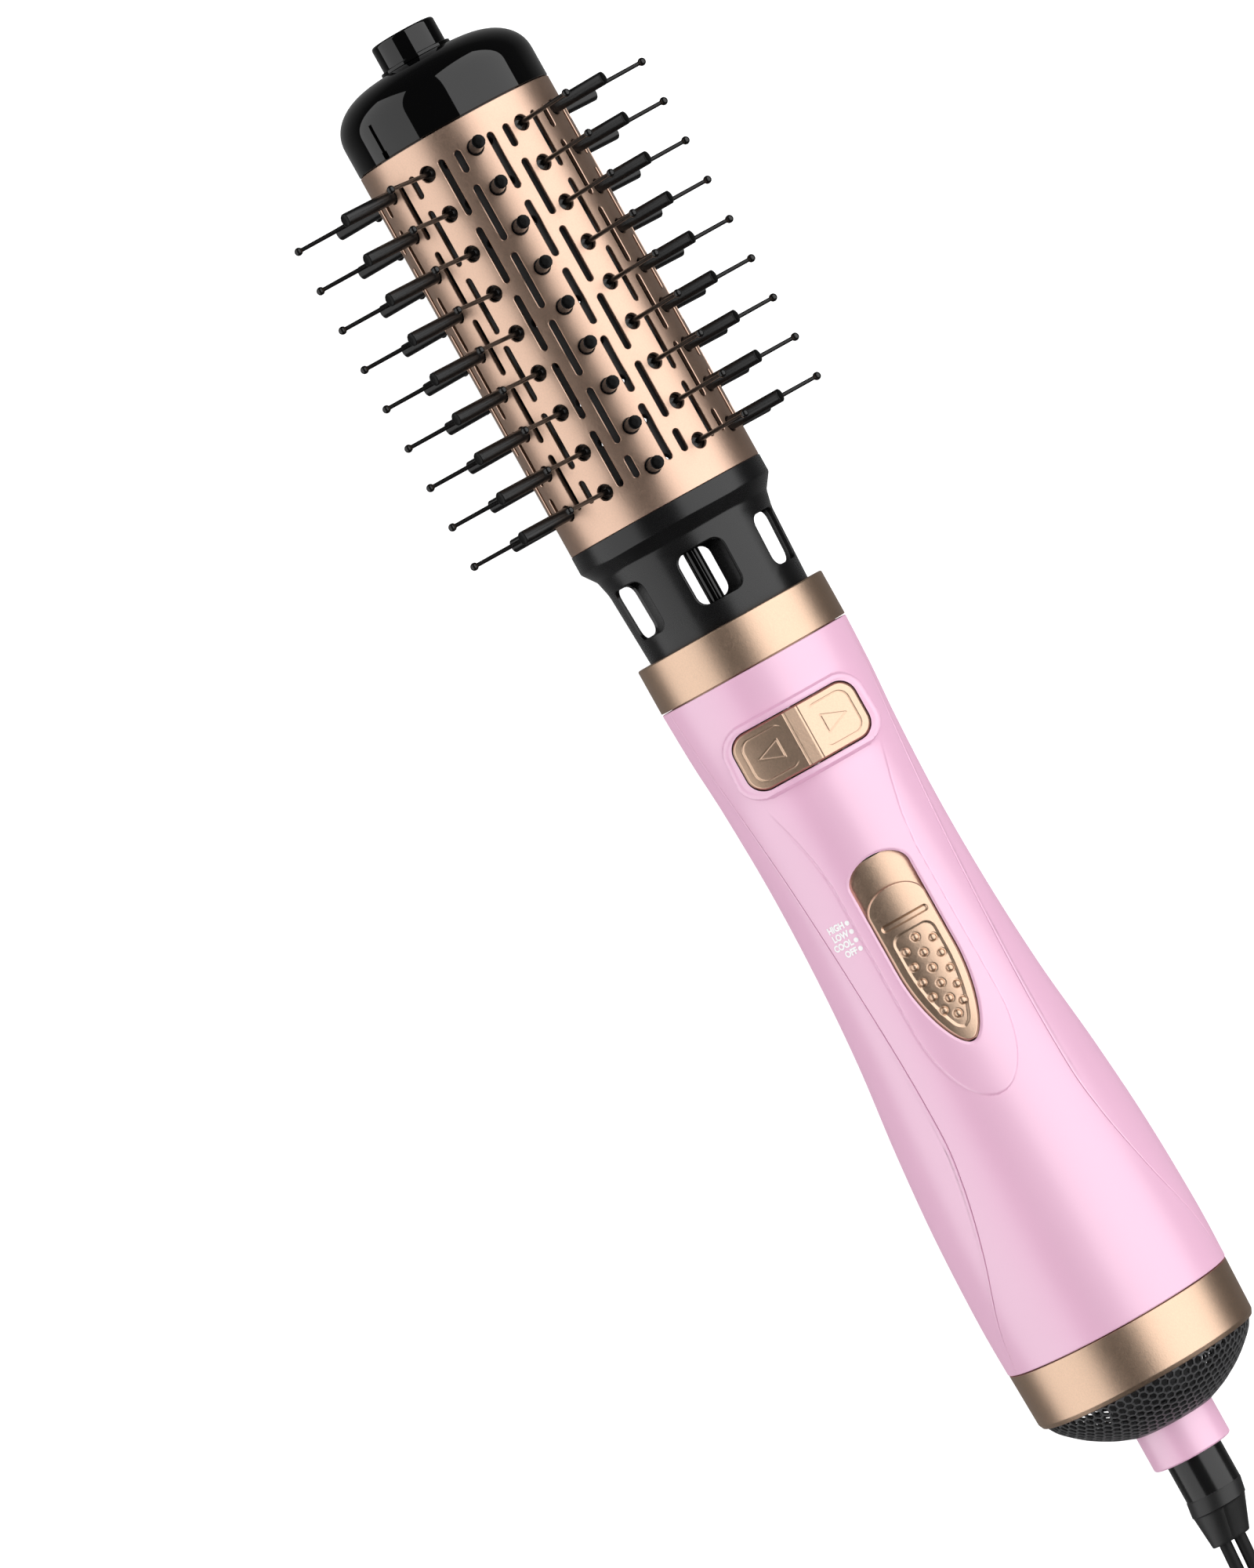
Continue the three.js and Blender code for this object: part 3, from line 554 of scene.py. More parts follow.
def through(pairs, steps=40):
    """Stations and values of a smooth curve through the pairs."""
    points = np.array([pairs[0], *pairs, pairs[-1]], float)
    out = []
    for a, b, c, d in zip(points, points[1:], points[2:], points[3:]):
        for t in np.arange(steps) / steps:
            out.append(0.5 * (2 * b + (c - a) * t + (2 * a - 5 * b + 4 * c - d) * t * t
                              + (3 * b - a - 3 * c + d) * t ** 3))
    return np.array([*out, points[-1]])


RADIUS_CURVE = through(HANDLE_RADII)
SEAM_CURVE = through(SEAM_ANGLES)


def handle_radius(station):
    return np.interp(station, RADIUS_CURVE[:, 0], RADIUS_CURVE[:, 1])


def seam_angle(station):
    return np.interp(station, SEAM_CURVE[:, 0], SEAM_CURVE[:, 1])


def over_handle(station, y, above):
    """The height of a surface that runs that far above the handle's round wall."""
    return np.sqrt(np.maximum((handle_radius(station) + above) ** 2 - y ** 2, 1))


def box_distance(x, y, length, width, corner):
    """Distance outside a rounded rectangle, negative inside it."""
    dx = np.abs(x) - length / 2 + corner
    dy = np.abs(y) - width / 2 + corner
    return np.minimum(np.maximum(dx, dy), 0) + np.hypot(np.maximum(dx, 0), np.maximum(dy, 0)) - corner


def tongue(shape):
    """The slider's plan outline, as stations and y: an arched front and a rounded point behind."""
    front, rear, half = shape
    arch, taper = 5.2, 22
    points = []
    for i in range(25):
        turn = math.pi * i / 24
        points.append((front + arch - arch * math.sin(turn), half * math.cos(turn)))
    knots = np.array([(rear - taper, -half), (rear - taper / 2, -half), (rear, -half * 0.45), (rear, 0)])
    for i in range(25):
        t = i / 24
        weights = np.array([(1 - t) ** 3, 3 * t * (1 - t) ** 2, 3 * t * t * (1 - t), t ** 3])
        points.append(tuple(weights @ knots))
    mirrored = [(s, -y) for s, y in points[::-1] if s > rear - taper]
    return np.array(points + mirrored[1:])


def outline_distance(x, y, outline):
    """Distance outside a closed outline, negative inside it."""
    x, y = np.asarray(x, float), np.asarray(y, float)
    best = np.full(x.shape, 1e9)
    inside = np.zeros(x.shape, bool)
    for (ax, ay), (bx, by) in zip(outline, np.roll(outline, -1, 0)):
        ex, ey = bx - ax, by - ay
        span = ex * ex + ey * ey
        if span < 1e-12:
            continue
        t = np.clip(((x - ax) * ex + (y - ay) * ey) / span, 0, 1)
        best = np.minimum(best, np.hypot(x - ax - t * ex, y - ay - t * ey))
        if ay != by:
            crosses = (ay > y) != (by > y)
            inside ^= crosses & (x < ex * (y - ay) / ey + ax)
    return np.where(inside, -best, best)


def half_width(outline, station):
    """How far an outline reaches from its middle line at a station."""
    upper = outline[outline[:, 1] >= -1e-9]
    order = np.argsort(upper[:, 0])
    return np.interp(station, upper[order, 0], upper[order, 1])


def groove(distance, width, depth):
    return -depth * np.exp(-(distance / width) ** 2)


def segment_distance(x, y, a, b):
    a, b = np.array(a, float), np.array(b, float)
    e = b - a
    t = np.clip(((x - a[0]) * e[0] + (y - a[1]) * e[1]) / (e @ e), 0, 1)
    return np.hypot(x - a[0] - t * e[0], y - a[1] - t * e[1])


def meet(a, b, corner):
    """Distance outside the overlap of two shapes, with its corners rounded."""
    inside = np.minimum(np.maximum(a, b) + corner, 0)
    return inside + np.hypot(np.maximum(a + corner, 0), np.maximum(b + corner, 0)) - corner


# Mains lead, in the world's own millimetres

LEAD_ROUTE = [
    (-209.9, 1.75, 26.35), (-219.8, 2.35, 25.69), (-226.0, 2.8, 25.2), (-231.7, 3.7, 24.3),
    (-237.3, 5.0, 22.8),
    (-242.9, 6.6, 20.8), (-248.5, 8.5, 18.3), (-254.1, 10.7, 15.4), (-259.8, 13.0, 12.4),
    (-265.4, 15.4, 9.6), (-271.1, 17.6, 7.2), (-276.7, 19.6, 5.3), (-282.4, 21.3, 4.0),
    (-288.0, 22.6, 3.2), (-293.6, 23.5, 2.9), (-299.2, 24.1, 2.8), (-304.8, 24.3, 2.8),
]
TAIL_ROUTE = [
    (-304.8, -24.3, 9.4), (-299.0, -24.6, 9.2), (-293.3, -25.1, 8.2), (-287.6, -25.5, 7.0),
    (-281.9, -25.8, 6.3),
]
HANK_CENTRE = -375.0
HANK_RUN = 52.0
HANK_BEND = 21.0
HANK_FOLD = math.pi * HANK_BEND / (4 * HANK_RUN + 2 * math.pi * HANK_BEND)


def hank_point(turns):
    """A point of the folded lead: four and a half flat turns that cross where they change places."""
    straight = 0.5 - HANK_FOLD

    def step(low, high):
        return float(smoothstep(turns, low, high))

    radius = 24.3 - 6.3 * (step(0.56, 0.76) - step(2.28, 2.48) + step(3.30, 3.48) - step(4.30, 4.48))
    layers = step(1.42, 1.54) + step(3.14, 3.28) + step(4.18, 4.30) - step(4.48, 4.60)
    z = 2.8 + 3.3 * layers
    part = turns % 1
    side = 1 if part < 0.5 else -1
    part = part if side > 0 else part - 0.5
    if part >= straight:
        turn = math.pi * (part - straight) / HANK_FOLD
        reach = HANK_RUN + radius * math.sin(turn)
        return (HANK_CENTRE - side * reach, side * radius * math.cos(turn), z)
    x = side * HANK_RUN * (1 - 2 * part / straight)
    waist = 14 * (0.5 + 0.5 * math.cos(math.pi * x / HANK_RUN))
    return (HANK_CENTRE + x, side * (radius - waist), z)


def lead_line():
    """The lead's middle line, from the brush through the hank to the plug, at even steps."""
    last = 5 - HANK_FOLD
    steps = 430
    hank = [hank_point(last * i / steps - (1e-9 if i == steps else 0)) for i in range(steps + 1)]
    rough = np.array([*LEAD_ROUTE[:-1], *hank, *TAIL_ROUTE[1:]])
    gaps = np.linalg.norm(np.diff(rough, axis=0), axis=1)
    along = np.concatenate([[0], np.cumsum(gaps)])
    even = np.linspace(0, along[-1], int(along[-1] / 2.6))
    line = np.stack([np.interp(even, along, rough[:, k]) for k in range(3)], 1)
    for _ in range(3):
        line[1:-1] = (line[:-2] + 2 * line[1:-1] + line[2:]) / 4
    return line


def core_section(side, apart):
    """A round core of the lead, that far to one side, as [across, up]."""
    turns = np.linspace(0, 2 * np.pi, 21)[:-1]
    return np.stack([side * apart + CORD_CORE * np.cos(turns), CORD_CORE * np.sin(turns)], 1)


def twin_section():
    """Half-round cores side by side with a groove between them, as [across, up]."""
    offset = CORD_WIDTH / 2 - CORD_CORE
    points = []
    for side, first in ((1, -75), (-1, 105)):
        for i in range(9):
            turn = math.radians(first + 150 * i / 8)
            points.append((side * offset + CORD_CORE * math.cos(turn), CORD_CORE * math.sin(turn)))
        points.append((0, side * CORD_CORE * 0.62))
    return np.array(points)


def make_lead():
    """A flat twin lead whose two cores leave the boot a little apart."""
    line = lead_line()
    ahead = np.gradient(line, axis=0)
    ahead /= np.linalg.norm(ahead, axis=1)[:, None]
    across = np.cross([0, 0, 1.0], ahead)
    across /= np.linalg.norm(across, axis=1)[:, None]
    above = np.cross(ahead, across)

    def ring(k, section):
        return line[k] + section[:, :1] * across[k] + section[:, 1:] * above[k]

    joined = 14
    solid = Solid()
    for side in (-1, 1):
        solid.add(*loft([ring(k, core_section(side, 1.95 - 0.5 * float(smoothstep(k, 2, joined))))
                         for k in range(joined + 2)]))
    solid.add(*loft([ring(k, twin_section()) for k in range(joined, len(line))]))
    lead = piece("mains_lead", solid.verts, solid.faces, LEAD_BLACK, "cord", "cord_black",
                 ("cord_lead", "cord_hank", "cord_tail"), WORLD)


def make_boot():
    """The swivelling strain relief: a turned stem, a matte band and a wedge down to the flat lead."""
    radius, band, wedge = 7.05, 389.4, 393.0
    turned("boot_stem", [
        (362.6, 0, 0), (362.6, 9, 0.4), (366.2, 9, 0.4), (366.2, radius, 0.3), (390.2, radius, 0.2),
        (390.2, 0, 0),
    ], RUBBER, "cord", "cord_black", ("swivel_boot",), 72)
    rings = []
    stations = [band, 389.5, 389.7, 393.3, 393.5, 393.7, *np.linspace(394.2, 401.2, 10), 401.6, 401.8]
    for s in stations:
        narrow = max(0.0, (s - wedge) / 8.8)
        step = 0.12 - 0.2 * float(smoothstep(s, 393.2, 393.6))
        if s < 389.6 or s > 401.7:
            step -= 0.12
        shift = 2.0 * max(0.0, (s - band) / 12.4)
        ring = []
        for turn in circle(64):
            seam = 0.3 * math.exp(-((math.sin(turn) * radius) / 0.35) ** 2) if s > 393.6 else 0
            reach = radius + step - seam
            ring.append((-s, reach * math.sin(turn) * (1 - 0.3 * narrow) + shift,
                         reach * math.cos(turn) * (1 - 0.5 * narrow)))
        rings.append(ring)
    piece("boot_wedge", *loft(rings), RUBBER_MATTE, "cord", "cord_black", (), crease=30)


PLUG_START = -281.6
PLUG_Y = -25.8
PLUG_HEIGHT = 12.6
PLUG_LENGTH = 28


def make_plug():
    """A moulded plug with a ribbed grip on each side and a flat face for its blades."""
    stations = np.concatenate([[0, 0.25, 0.8], np.linspace(1.6, 26.6, 60), [27.4, 27.85, PLUG_LENGTH]])
    widths = through([(0, 3.9), (8, 5.4), (12, 8.6), (19, 11.9), (PLUG_LENGTH, 12.0)])
    start_round, grip, squareness = 1.2, (9.5, 21.5), 2 / 4.2
    rings = []
    for x in stations:
        half = float(np.interp(x, widths[:, 0], widths[:, 1]))
        tall = PLUG_HEIGHT / 2 * (0.62 + 0.38 * float(smoothstep(x, 2, 15)))
        inset = 0.0
        if x < 1.6:
            short = start_round - min(x, start_round)
            inset = start_round - math.sqrt(max(0, start_round ** 2 - short ** 2))
        if x > 27:
            inset = (x - 27) ** 2 * 0.7
        if grip[0] < x < grip[1]:
            inset += 0.35 * (0.5 - 0.5 * math.cos(math.pi * (x - grip[0])))
        ring = []
        for turn in circle(56):
            y, z = (math.copysign(abs(v) ** squareness, v) for v in (math.cos(turn), math.sin(turn)))
            ring.append((PLUG_START + x, PLUG_Y + (half - inset) * y,
                         PLUG_HEIGHT / 2 + (tall - min(inset, start_round) * 0.6) * z))
        rings.append(ring)
    body = piece("plug_moulding", *loft(rings), RUBBER_MATTE, "cord", "cord_black", ("plug_body",), WORLD)
    return [body, make_blade(1, PLUG_Y - 6.35), make_blade(2, PLUG_Y + 6.35)]


def blade_outlines(length, width, centre, eye):
    """The edge of a blade with a rounded tip, and its eye, as matching points [along, up]."""
    corner = 1.4
    outer, inner = [], []
    for turn in circle(40):
        dx, dz = math.cos(turn), math.sin(turn)
        end = length - centre if dx > 0 else centre
        reach = min(end / max(abs(dx), 1e-9), width / 2 / max(abs(dz), 1e-9))
        x, z = centre + reach * dx, reach * dz
        if x > length - corner and abs(z) > width / 2 - corner:
            away = np.array([x - length + corner, abs(z) - width / 2 + corner])
            away *= corner / max(np.linalg.norm(away), corner)
            x, z = length - corner + away[0], math.copysign(width / 2 - corner + away[1], z)
        outer.append((x, z))
        inner.append((centre + eye * dx, eye * dz))
    return outer, inner


def make_blade(number, y):
    """A flat blade with softened edges and an eye near its tip."""
    length, width, thick, eye, soft = 17.0, 6.3, 1.5, 1.6, 0.2
    start, centre = PLUG_START + PLUG_LENGTH + 0.3, length - 4
    outer, inner = blade_outlines(length, width, centre, eye)
    side = thick / 2
    rings = []
    for loop, level, inset in ((outer, soft - side, 0), (outer, -side, soft), (inner, -side, 0),
                               (inner, side, 0), (outer, side, soft), (outer, side - soft, 0)):
        ring = []
        for x, z in loop:
            shrink = 1 - inset / max(math.hypot(x - centre, z), 1e-6)
            ring.append((start + centre + (x - centre) * shrink, y + level, PLUG_HEIGHT / 2 + z * shrink))
        rings.append(ring)
    return piece(f"brass_blade_{number}", *loft(rings, closed=True), BRASS, "cord", "blade_brass",
                 (f"plug_blade_{number}",), WORLD)


def make_tie():
    """The band round the waist of the hank, with a tab where it closes."""
    half, low, high, thick, wide, corner = 14.5, 0.9, 11.5, 0.8, 9.0, 3.0
    bevel, swell = 0.25, 0.05

    def loop(x, grow):
        outline = rounded_rectangle(2 * (half + grow), high - low + 2 * grow, corner + grow, 17)
        return [(HANK_CENTRE + x, y, (high + low) / 2 + z) for y, z in outline]

    end = wide / 2
    sides = ((-end, bevel), (bevel - end, 0), (0, -swell), (end - bevel, 0), (end, bevel))
    rings = [loop(x, thick - inset) for x, inset in sides] + [loop(end, 0), loop(-end, 0)]
    solid = Solid().add(*loft(rings, closed=True))
    tab = soft_box((6.4, 7.0, 0.7), 0.3)
    solid.add(*tab, move=lambda p: (HANK_CENTRE + p[0], 3.0 + p[1], high + thick + 0.2 + p[2]))
    return piece("tie_band", solid.verts, solid.faces, MATTE_BLACK, "cord", "cord_black", ("cord_tie",),
                 WORLD)


# Skins with openings, shared by the barrel and its air tube, and by the neck


class Skin:
    """Quads between points of a round wall, given as [degrees, station, radius] and welded by place."""

    def __init__(self):
        self.verts = []
        self.faces = []
        self.outer = []
        self.places = {}

    def point(self, degrees, station, radius):
        key = (round(degrees * 1000) % 360000, round(station * 1000), round(radius * 1000))
        if key not in self.places:
            self.places[key] = len(self.verts)
            self.verts.append(polar(station, radius, degrees))
        return self.places[key]

    def quad(self, a, b, c, d, outer=False):
        face = list(dict.fromkeys(self.point(*p) for p in (a, b, c, d)))
        if len(face) > 2:
            self.faces.append(face)
            self.outer.append(outer)

    def strip(self, loop, other, outer=False):
        for k in range(len(loop)):
            n = (k + 1) % len(loop)
            self.quad(loop[k], loop[n], other[n], other[k], outer)


COLUMNS = 36
COLUMN_STEP = 360 // COLUMNS
EDGE = 0.12
LIP = 0.14


def slot_columns():
    """For each of the columns round the barrel, its openings as [first, last, half width]."""
    start, end, long, short, half, hole = 31.6, 117.75, 14.5, 5.7, 0.85, 1.95
    wide = (end - start - long) / 4
    five = [(start + wide * i, start + wide * i + long, half) for i in range(5)]
    gap = (end - start - 2 * short - 4 * long) / 5
    first = start + short + gap
    four = [(first + (long + gap) * i, first + (long + gap) * i + long, half) for i in range(4)]
    holes = [(s - hole, s + hole, hole) for s in BRISTLE_STATIONS]
    kinds = holes, five, [(start, start + short, half), *four, (end - short, end, half)]
    return [kinds[column % 3] for column in range(COLUMNS)]


GRID = [27.85 + 1.05 * i for i in range(91)]
COLUMN_PARTS = (-5.0, -2.5, 0.0, 2.5, 5.0)


def cell_boundary(low, high):
    """The cell's edge: up its left side, along its far end, down its right side and back."""
    stations = [s for s in GRID if low - 1e-6 <= s <= high + 1e-6]
    inner = COLUMN_PARTS[1:-1]
    left = [(COLUMN_PARTS[0], s) for s in stations]
    right = [(COLUMN_PARTS[-1], s) for s in stations[::-1]]
    return left + [(u, stations[-1]) for u in inner] + right + [(u, stations[0]) for u in inner[::-1]]


def matched_slot(boundary, opening, margin):
    """A point of the round-ended slot for each point of the cell's edge."""
    first, last, half = opening
    low, high, reach = first + half, last - half, half + margin
    scale = 180 / math.pi / BARREL_RADIUS
    far = [k for k, (u, s) in enumerate(boundary) if s > high + 1e-6]
    near = [k for k, (u, s) in enumerate(boundary) if s < low - 1e-6]
    near.sort(key=lambda k: k < len(boundary) // 2)
    out = [(math.copysign(reach, u) * scale, s) for u, s in boundary]
    for order, k in enumerate(far):
        turn = math.pi * (1 - (order + 0.5) / len(far))
        out[k] = (reach * math.cos(turn) * scale, high + reach * math.sin(turn))
    for order, k in enumerate(near):
        turn = -math.pi * (order + 0.5) / len(near)
        out[k] = (reach * math.cos(turn) * scale, low + reach * math.sin(turn))
    return out


def wall_cell(skin, column, opening, radius, inner):
    """One cell of a round wall with its opening, lip and inside."""
    first, last, half = opening
    margin = 1.0 if half > 1 else 0.5
    low = max(s for s in GRID if s <= first - margin + 1e-6)
    high = min(s for s in GRID if s >= last + margin - 1e-6)
    boundary = cell_boundary(low, high)
    turn = COLUMN_STEP * column

    def at(loop, reach):
        return [(turn + u, s, reach) for u, s in loop]

    lip, hole = matched_slot(boundary, opening, LIP), matched_slot(boundary, opening, 0)
    skin.strip(at(boundary, radius), at(lip, radius), outer=True)
    skin.strip(at(lip, radius), at(hole, radius - LIP))
    skin.strip(at(hole, radius - LIP), at(hole, inner))
    skin.strip(at(hole, inner), at(boundary, inner))
    return low, high


def pierced_tube(columns, front, rear, radius, inner):
    """A tube whose columns hold the given openings, with softened ends."""
    skin = Skin()
    levels = [(front, radius - EDGE), (front + EDGE, radius)]
    levels += [(s, radius) for s in GRID if front + 0.6 < s < rear - 0.6]
    levels += [(rear - EDGE, radius), (rear, radius - EDGE)]
    for column, openings in enumerate(columns):
        taken = [wall_cell(skin, column, opening, radius, inner) for opening in openings]
        for u, v in zip(COLUMN_PARTS, COLUMN_PARTS[1:]):
            a, b = COLUMN_STEP * column + u, COLUMN_STEP * column + v
            for (s, r), (t, q) in zip(levels, levels[1:]):
                if any(low - 1e-6 <= s and t <= high + 1e-6 for low, high in taken):
                    continue
                skin.quad((a, s, r), (b, s, r), (b, t, q), (a, t, q), outer=r == q)
                skin.quad((a, s, inner), (b, s, inner), (b, t, inner), (a, t, inner))
            for s, r in (levels[0], levels[-1]):
                skin.quad((a, s, r), (b, s, r), (b, s, inner), (a, s, inner))
    return skin


# Head


def make_knob():
    turned("cool_tip_knob", [
        (0, 0, 0), (0, 8.15, 0.75), (6.5, 8.15, 0.2), (6.5, 9.0, 0.2), (7.35, 9.0, 0.1), (7.35, 2.6, 0.3),
        (10.3, 2.6, 0.1), (10.3, 4, 0.2), (12, 3, 0.5), (14, 0, 0),
    ], GLOSS_BLACK, "cool_tip", "gloss_black", ("cool_tip",), 96)


def make_cap():
    """The domed end cap with a narrow slit on each side."""
    power = 2 / 2.2
    nose = []
    for turn in np.linspace(0, math.pi / 2, 19):
        nose.append((18.0 - 10.4 * math.cos(turn) ** power, 9.6 + 15.4 * math.sin(turn) ** power))
    verts, faces = lathe([
        (7.75, 2.9), (7.55, 3.1), (7.5, 9.3), *nose, (25.0, 25.0), (25.2, 24.8), (25.2, 23.6), (30.4, 23.6),
        (30.6, 23.4), (30.6, 21.6), (15, 21.8), (10.2, 15), (9.6, 2.9),
    ], 160)
    slit = [(16.4, -0.5), (16.4, 0.5), (23.4, 0.5), (23.4, 0.8), (25.9, 0.8), (25.9, -0.8), (23.4, -0.8),
            (23.4, -0.5)]
    block, block_faces = prism(slit, 24.1, 26)
    cutters = [helper(f"slit_{k}", spun(block, degrees), block_faces)
               for k, degrees in enumerate((-47.4, 132.6))]
    mesh = carve(helper("end_cap_shell", verts, faces), cutters)
    dress(mesh, "end_cap_shell", GLOSS_BLACK, "head", "gloss_black", ("end_cap",), crease=42)


def radial(points):
    out = points.copy()
    out[:, 0] = 0
    return out / np.linalg.norm(out, axis=1)[:, None]


def make_barrel():
    skin = pierced_tube(slot_columns(), 25.4, 126.36, BARREL_RADIUS, BARREL_INNER)
    mesh = mesh_of("barrel_shell", skin.verts, skin.faces, weld=0)
    normals = corner_normals(mesh, skin.outer, radial)
    dress(mesh, "barrel_shell", ROSE_GOLD, "head", "barrel_gold", ("barrel",), normals=normals)


def spokes(count, first_degrees, length, thick, middle, station):
    """Bars from a hub to a ring, as [verts, faces] each."""
    verts, faces = soft_box((length, thick, middle[1] - middle[0]), 0.35, 3)
    lift = (middle[0] + middle[1]) / 2
    bar = [(x - station, y, z + lift) for x, y, z in verts]
    for number in range(count):
        yield spun(bar, first_degrees + 360 / count * number), faces


def make_core():
    """The dark tube inside the barrel, with small air holes between the bristle rows."""
    hole, front, rear, radius, inner = 1.1, 31.4, 124.0, 21.8, 20.2
    holes = [(s - hole, s + hole, hole) for s in BRISTLE_STATIONS]
    columns = [holes if column % 3 == 1 else [] for column in range(COLUMNS)]
    skin = pierced_tube(columns, front, rear, radius, inner)
    solid = Solid().add(skin.verts, skin.faces)
    for low, high in ((front, 46.0), (118.0, rear)):
        hub = [(low, 2.7, 0.2), (low, 4.6, 0.5), (high, 4.6, 0.5), (high, 2.7, 0.2)]
        solid.add(*lathe(rounded(hub), 48))
        for bar in spokes(3, 15, high - low - 1, 1.8, (4.2, 20.6), (low + high) / 2):
            solid.add(*bar)
    piece("air_tube", solid.verts, solid.faces, CORE_BLACK, "head", "satin_black", ("head_core",),
          crease=40)


def strip_bar():
    """The bar that carries nine bristles, with a rounded back."""
    verts, faces = soft_box((88.2, 4.4, 1.3), 0.35, 3)
    return [(x - 75.3, y, z + 22.85) for x, y, z in verts], faces


def pin_shape():
    """A thin pin with a foot and a ball at its end."""
    ball, wire = 1.0, 0.5
    centre = 46.9 - ball
    start = math.asin(wire / ball)
    points = [(23.0, 0), (23.0, 1.75), (23.9, 1.6), (24.15, 1.1), (24.4, 0.72), (30, 0.55),
              (centre - ball * math.cos(start), wire)]
    points += [(centre - ball * math.cos(t), ball * math.sin(t))
               for t in np.linspace(start, math.pi, 10)[1:-1]]
    return upright(points + [(centre + ball, 0)], 14)


def tuft_shape():
    """A bundle of filaments: a fluted column with a slightly domed, cut end."""
    outline = ((22.9, 1.72), (24.3, 1.72), (26, 1.64), (39.3, 1.64), (39.5, 1.58), (39.6, 1.42),
               (39.63, 0.6))
    rings = []
    for z, radius in outline:
        ring = []
        for i, turn in enumerate(circle(36)):
            reach = radius * (1 if i % 3 else 0.975)
            ring.append((reach * math.cos(turn), reach * math.sin(turn), z))
        rings.append(ring)
    return loft(rings)


def make_strip(kind, number, shape, degrees, material):
    """A row of nine bristles on its bar, turned about the brush's axis."""
    bar, bar_faces = strip_bar()
    bristle, bristle_faces = shape
    solid = Solid().add(spun(bar, degrees), bar_faces)
    for s in BRISTLE_STATIONS:
        solid.add(spun([(x - s, y, z) for x, y, z in bristle], degrees), bristle_faces)
    return piece(f"{kind}_row_{number}", solid.verts, solid.faces, material, "head", "bristle_nylon",
                 (f"{kind}_strip_{number}",), crease=50)


def make_strips():
    tuft, pin = tuft_shape(), pin_shape()
    # Tuft faces beyond this radius, the end faces, take the darker end material: painted shade on the tuft
    # tops.
    shaded_end_radius = 39.52
    for number in range(6):
        row = make_strip("tuft", number + 1, tuft, 60 * number, TUFT_NYLON)
        row.data.materials.append(TUFT_ENDS_PAINTED_SHADE)
        for face in row.data.polygons:
            face.material_index = int(math.hypot(face.center.y, face.center.z) > shaded_end_radius * MM)
        make_strip("pin", number + 1, pin, 60 * number + 30, PIN_NYLON)


# Neck and drive rod

WINDOW_ANGLES = (-30, -26, -22.5, -19, -15.5, -12, -8, -4, 0, 4, 8, 12, 15.5, 19, 22.5, 26, 30)
WINDOW_ROWS = [136.4 + 16.8 * i / 12 for i in range(13)]
WINDOW_HALF = 22.5


def matched_window(boundary, margin):
    """A point of the rounded window for each point of the skin's edge, both as [degrees, station]."""
    outline = np.array(rounded_rectangle(13.1 + 2 * margin, 12.1 + 2 * margin, 2.6 + margin, 12))
    centre, radius = 144.85, 21.4
    closed = np.vstack([outline, outline[:1]])
    dense = np.vstack([a + (b - a) * np.linspace(0, 1, 12)[:-1, None] for a, b in zip(closed, closed[1:])])
    angles = np.arctan2(dense[:, 1], dense[:, 0])
    out = []
    for degrees, s in boundary:
        wanted = math.atan2(math.radians(degrees) * radius, s - centre)
        away = np.abs((angles - wanted + math.pi) % (2 * math.pi) - math.pi)
        px, py = dense[int(np.argmin(away))]
        out.append((math.degrees(py / radius), px + centre))
    return out


def neck_section():
    """The neck's closed outline as [station, radius, on a row of the windows], and its wall's radius."""
    outer = rounded([
        (120.2, 22.3, 0), (120.2, 23.6, 0.2), (126.42, 23.6, 0), (126.42, 25.1, 0.15), (131.0, 25.1, 1.2),
        (134.5, 22.6, 2.0), (138.5, 21.68, 6), (164.2, 20.7, 0.4), (164.2, 19.6, 0.2), (138, 20.6, 6),
        (132, 22.6, 3),
    ], 6)
    split = next(k for k, (s, r) in enumerate(outer) if s > 164.1) + 1
    front, back = np.array(outer[:split]), np.array(outer[split + 3:])[::-1]
    sides = {"out": front[front[:, 0] > 131], "in": back[back[:, 0] > 131]}

    def wall(kind, s):
        return float(np.interp(s, *sides[kind].T))

    def with_rows(points, kind):
        kept = [(s, r, False) for s, r in points
                if not WINDOW_ROWS[0] - 0.3 < s < WINDOW_ROWS[-1] + 0.3]
        rows = [(s, wall(kind, s), True) for s in WINDOW_ROWS]
        if kind == "in":
            rows = rows[::-1]
        past = [s > 152 if kind == "out" else s < 137 for s, r, on_row in kept]
        place = past.index(True)
        return kept[:place] + rows + kept[place:]

    return with_rows(outer[:split], "out") + with_rows(outer[split:], "in"), wall


def add_window(skin, middle, wall):
    """One window: the wall round it, its softened edge and its reveal."""
    inner = [u for u in WINDOW_ANGLES if abs(u) < WINDOW_HALF]
    boundary = [(-WINDOW_HALF, s) for s in WINDOW_ROWS] + [(u, WINDOW_ROWS[-1]) for u in inner]
    boundary += [(WINDOW_HALF, s) for s in WINDOW_ROWS[::-1]] + [(u, WINDOW_ROWS[0]) for u in inner[::-1]]
    loops = []
    for margin, kind, sink in ((None, "out", 0), (0.45, "out", 0), (0.14, "out", 0.06), (0, "out", 0.25),
                               (0, "in", 0), (None, "in", 0)):
        loop = boundary if margin is None else matched_window(boundary, margin)
        loops.append([(middle + u, s, wall(kind, s) - sink) for u, s in loop])
    for loop, other in zip(loops, loops[1:]):
        skin.strip(loop, other)


def make_neck():
    """The collar with its six windows."""
    outline, wall = neck_section()
    skin = Skin()
    for middle in range(0, 360, 60):
        for (s, r, a_row), (t, q, b_row) in zip(outline, outline[1:] + outline[:1]):
            for u, v in zip(WINDOW_ANGLES, WINDOW_ANGLES[1:]):
                in_window = a_row and b_row and u >= -WINDOW_HALF and v <= WINDOW_HALF
                if not in_window:
                    a, b = middle + u, middle + v
                    skin.quad((a, s, r), (b, s, r), (b, t, q), (a, t, q))
        add_window(skin, middle, wall)
    piece("neck_shell", skin.verts, skin.faces, SATIN_BLACK, "neck", "satin_black", ("neck",), crease=48)


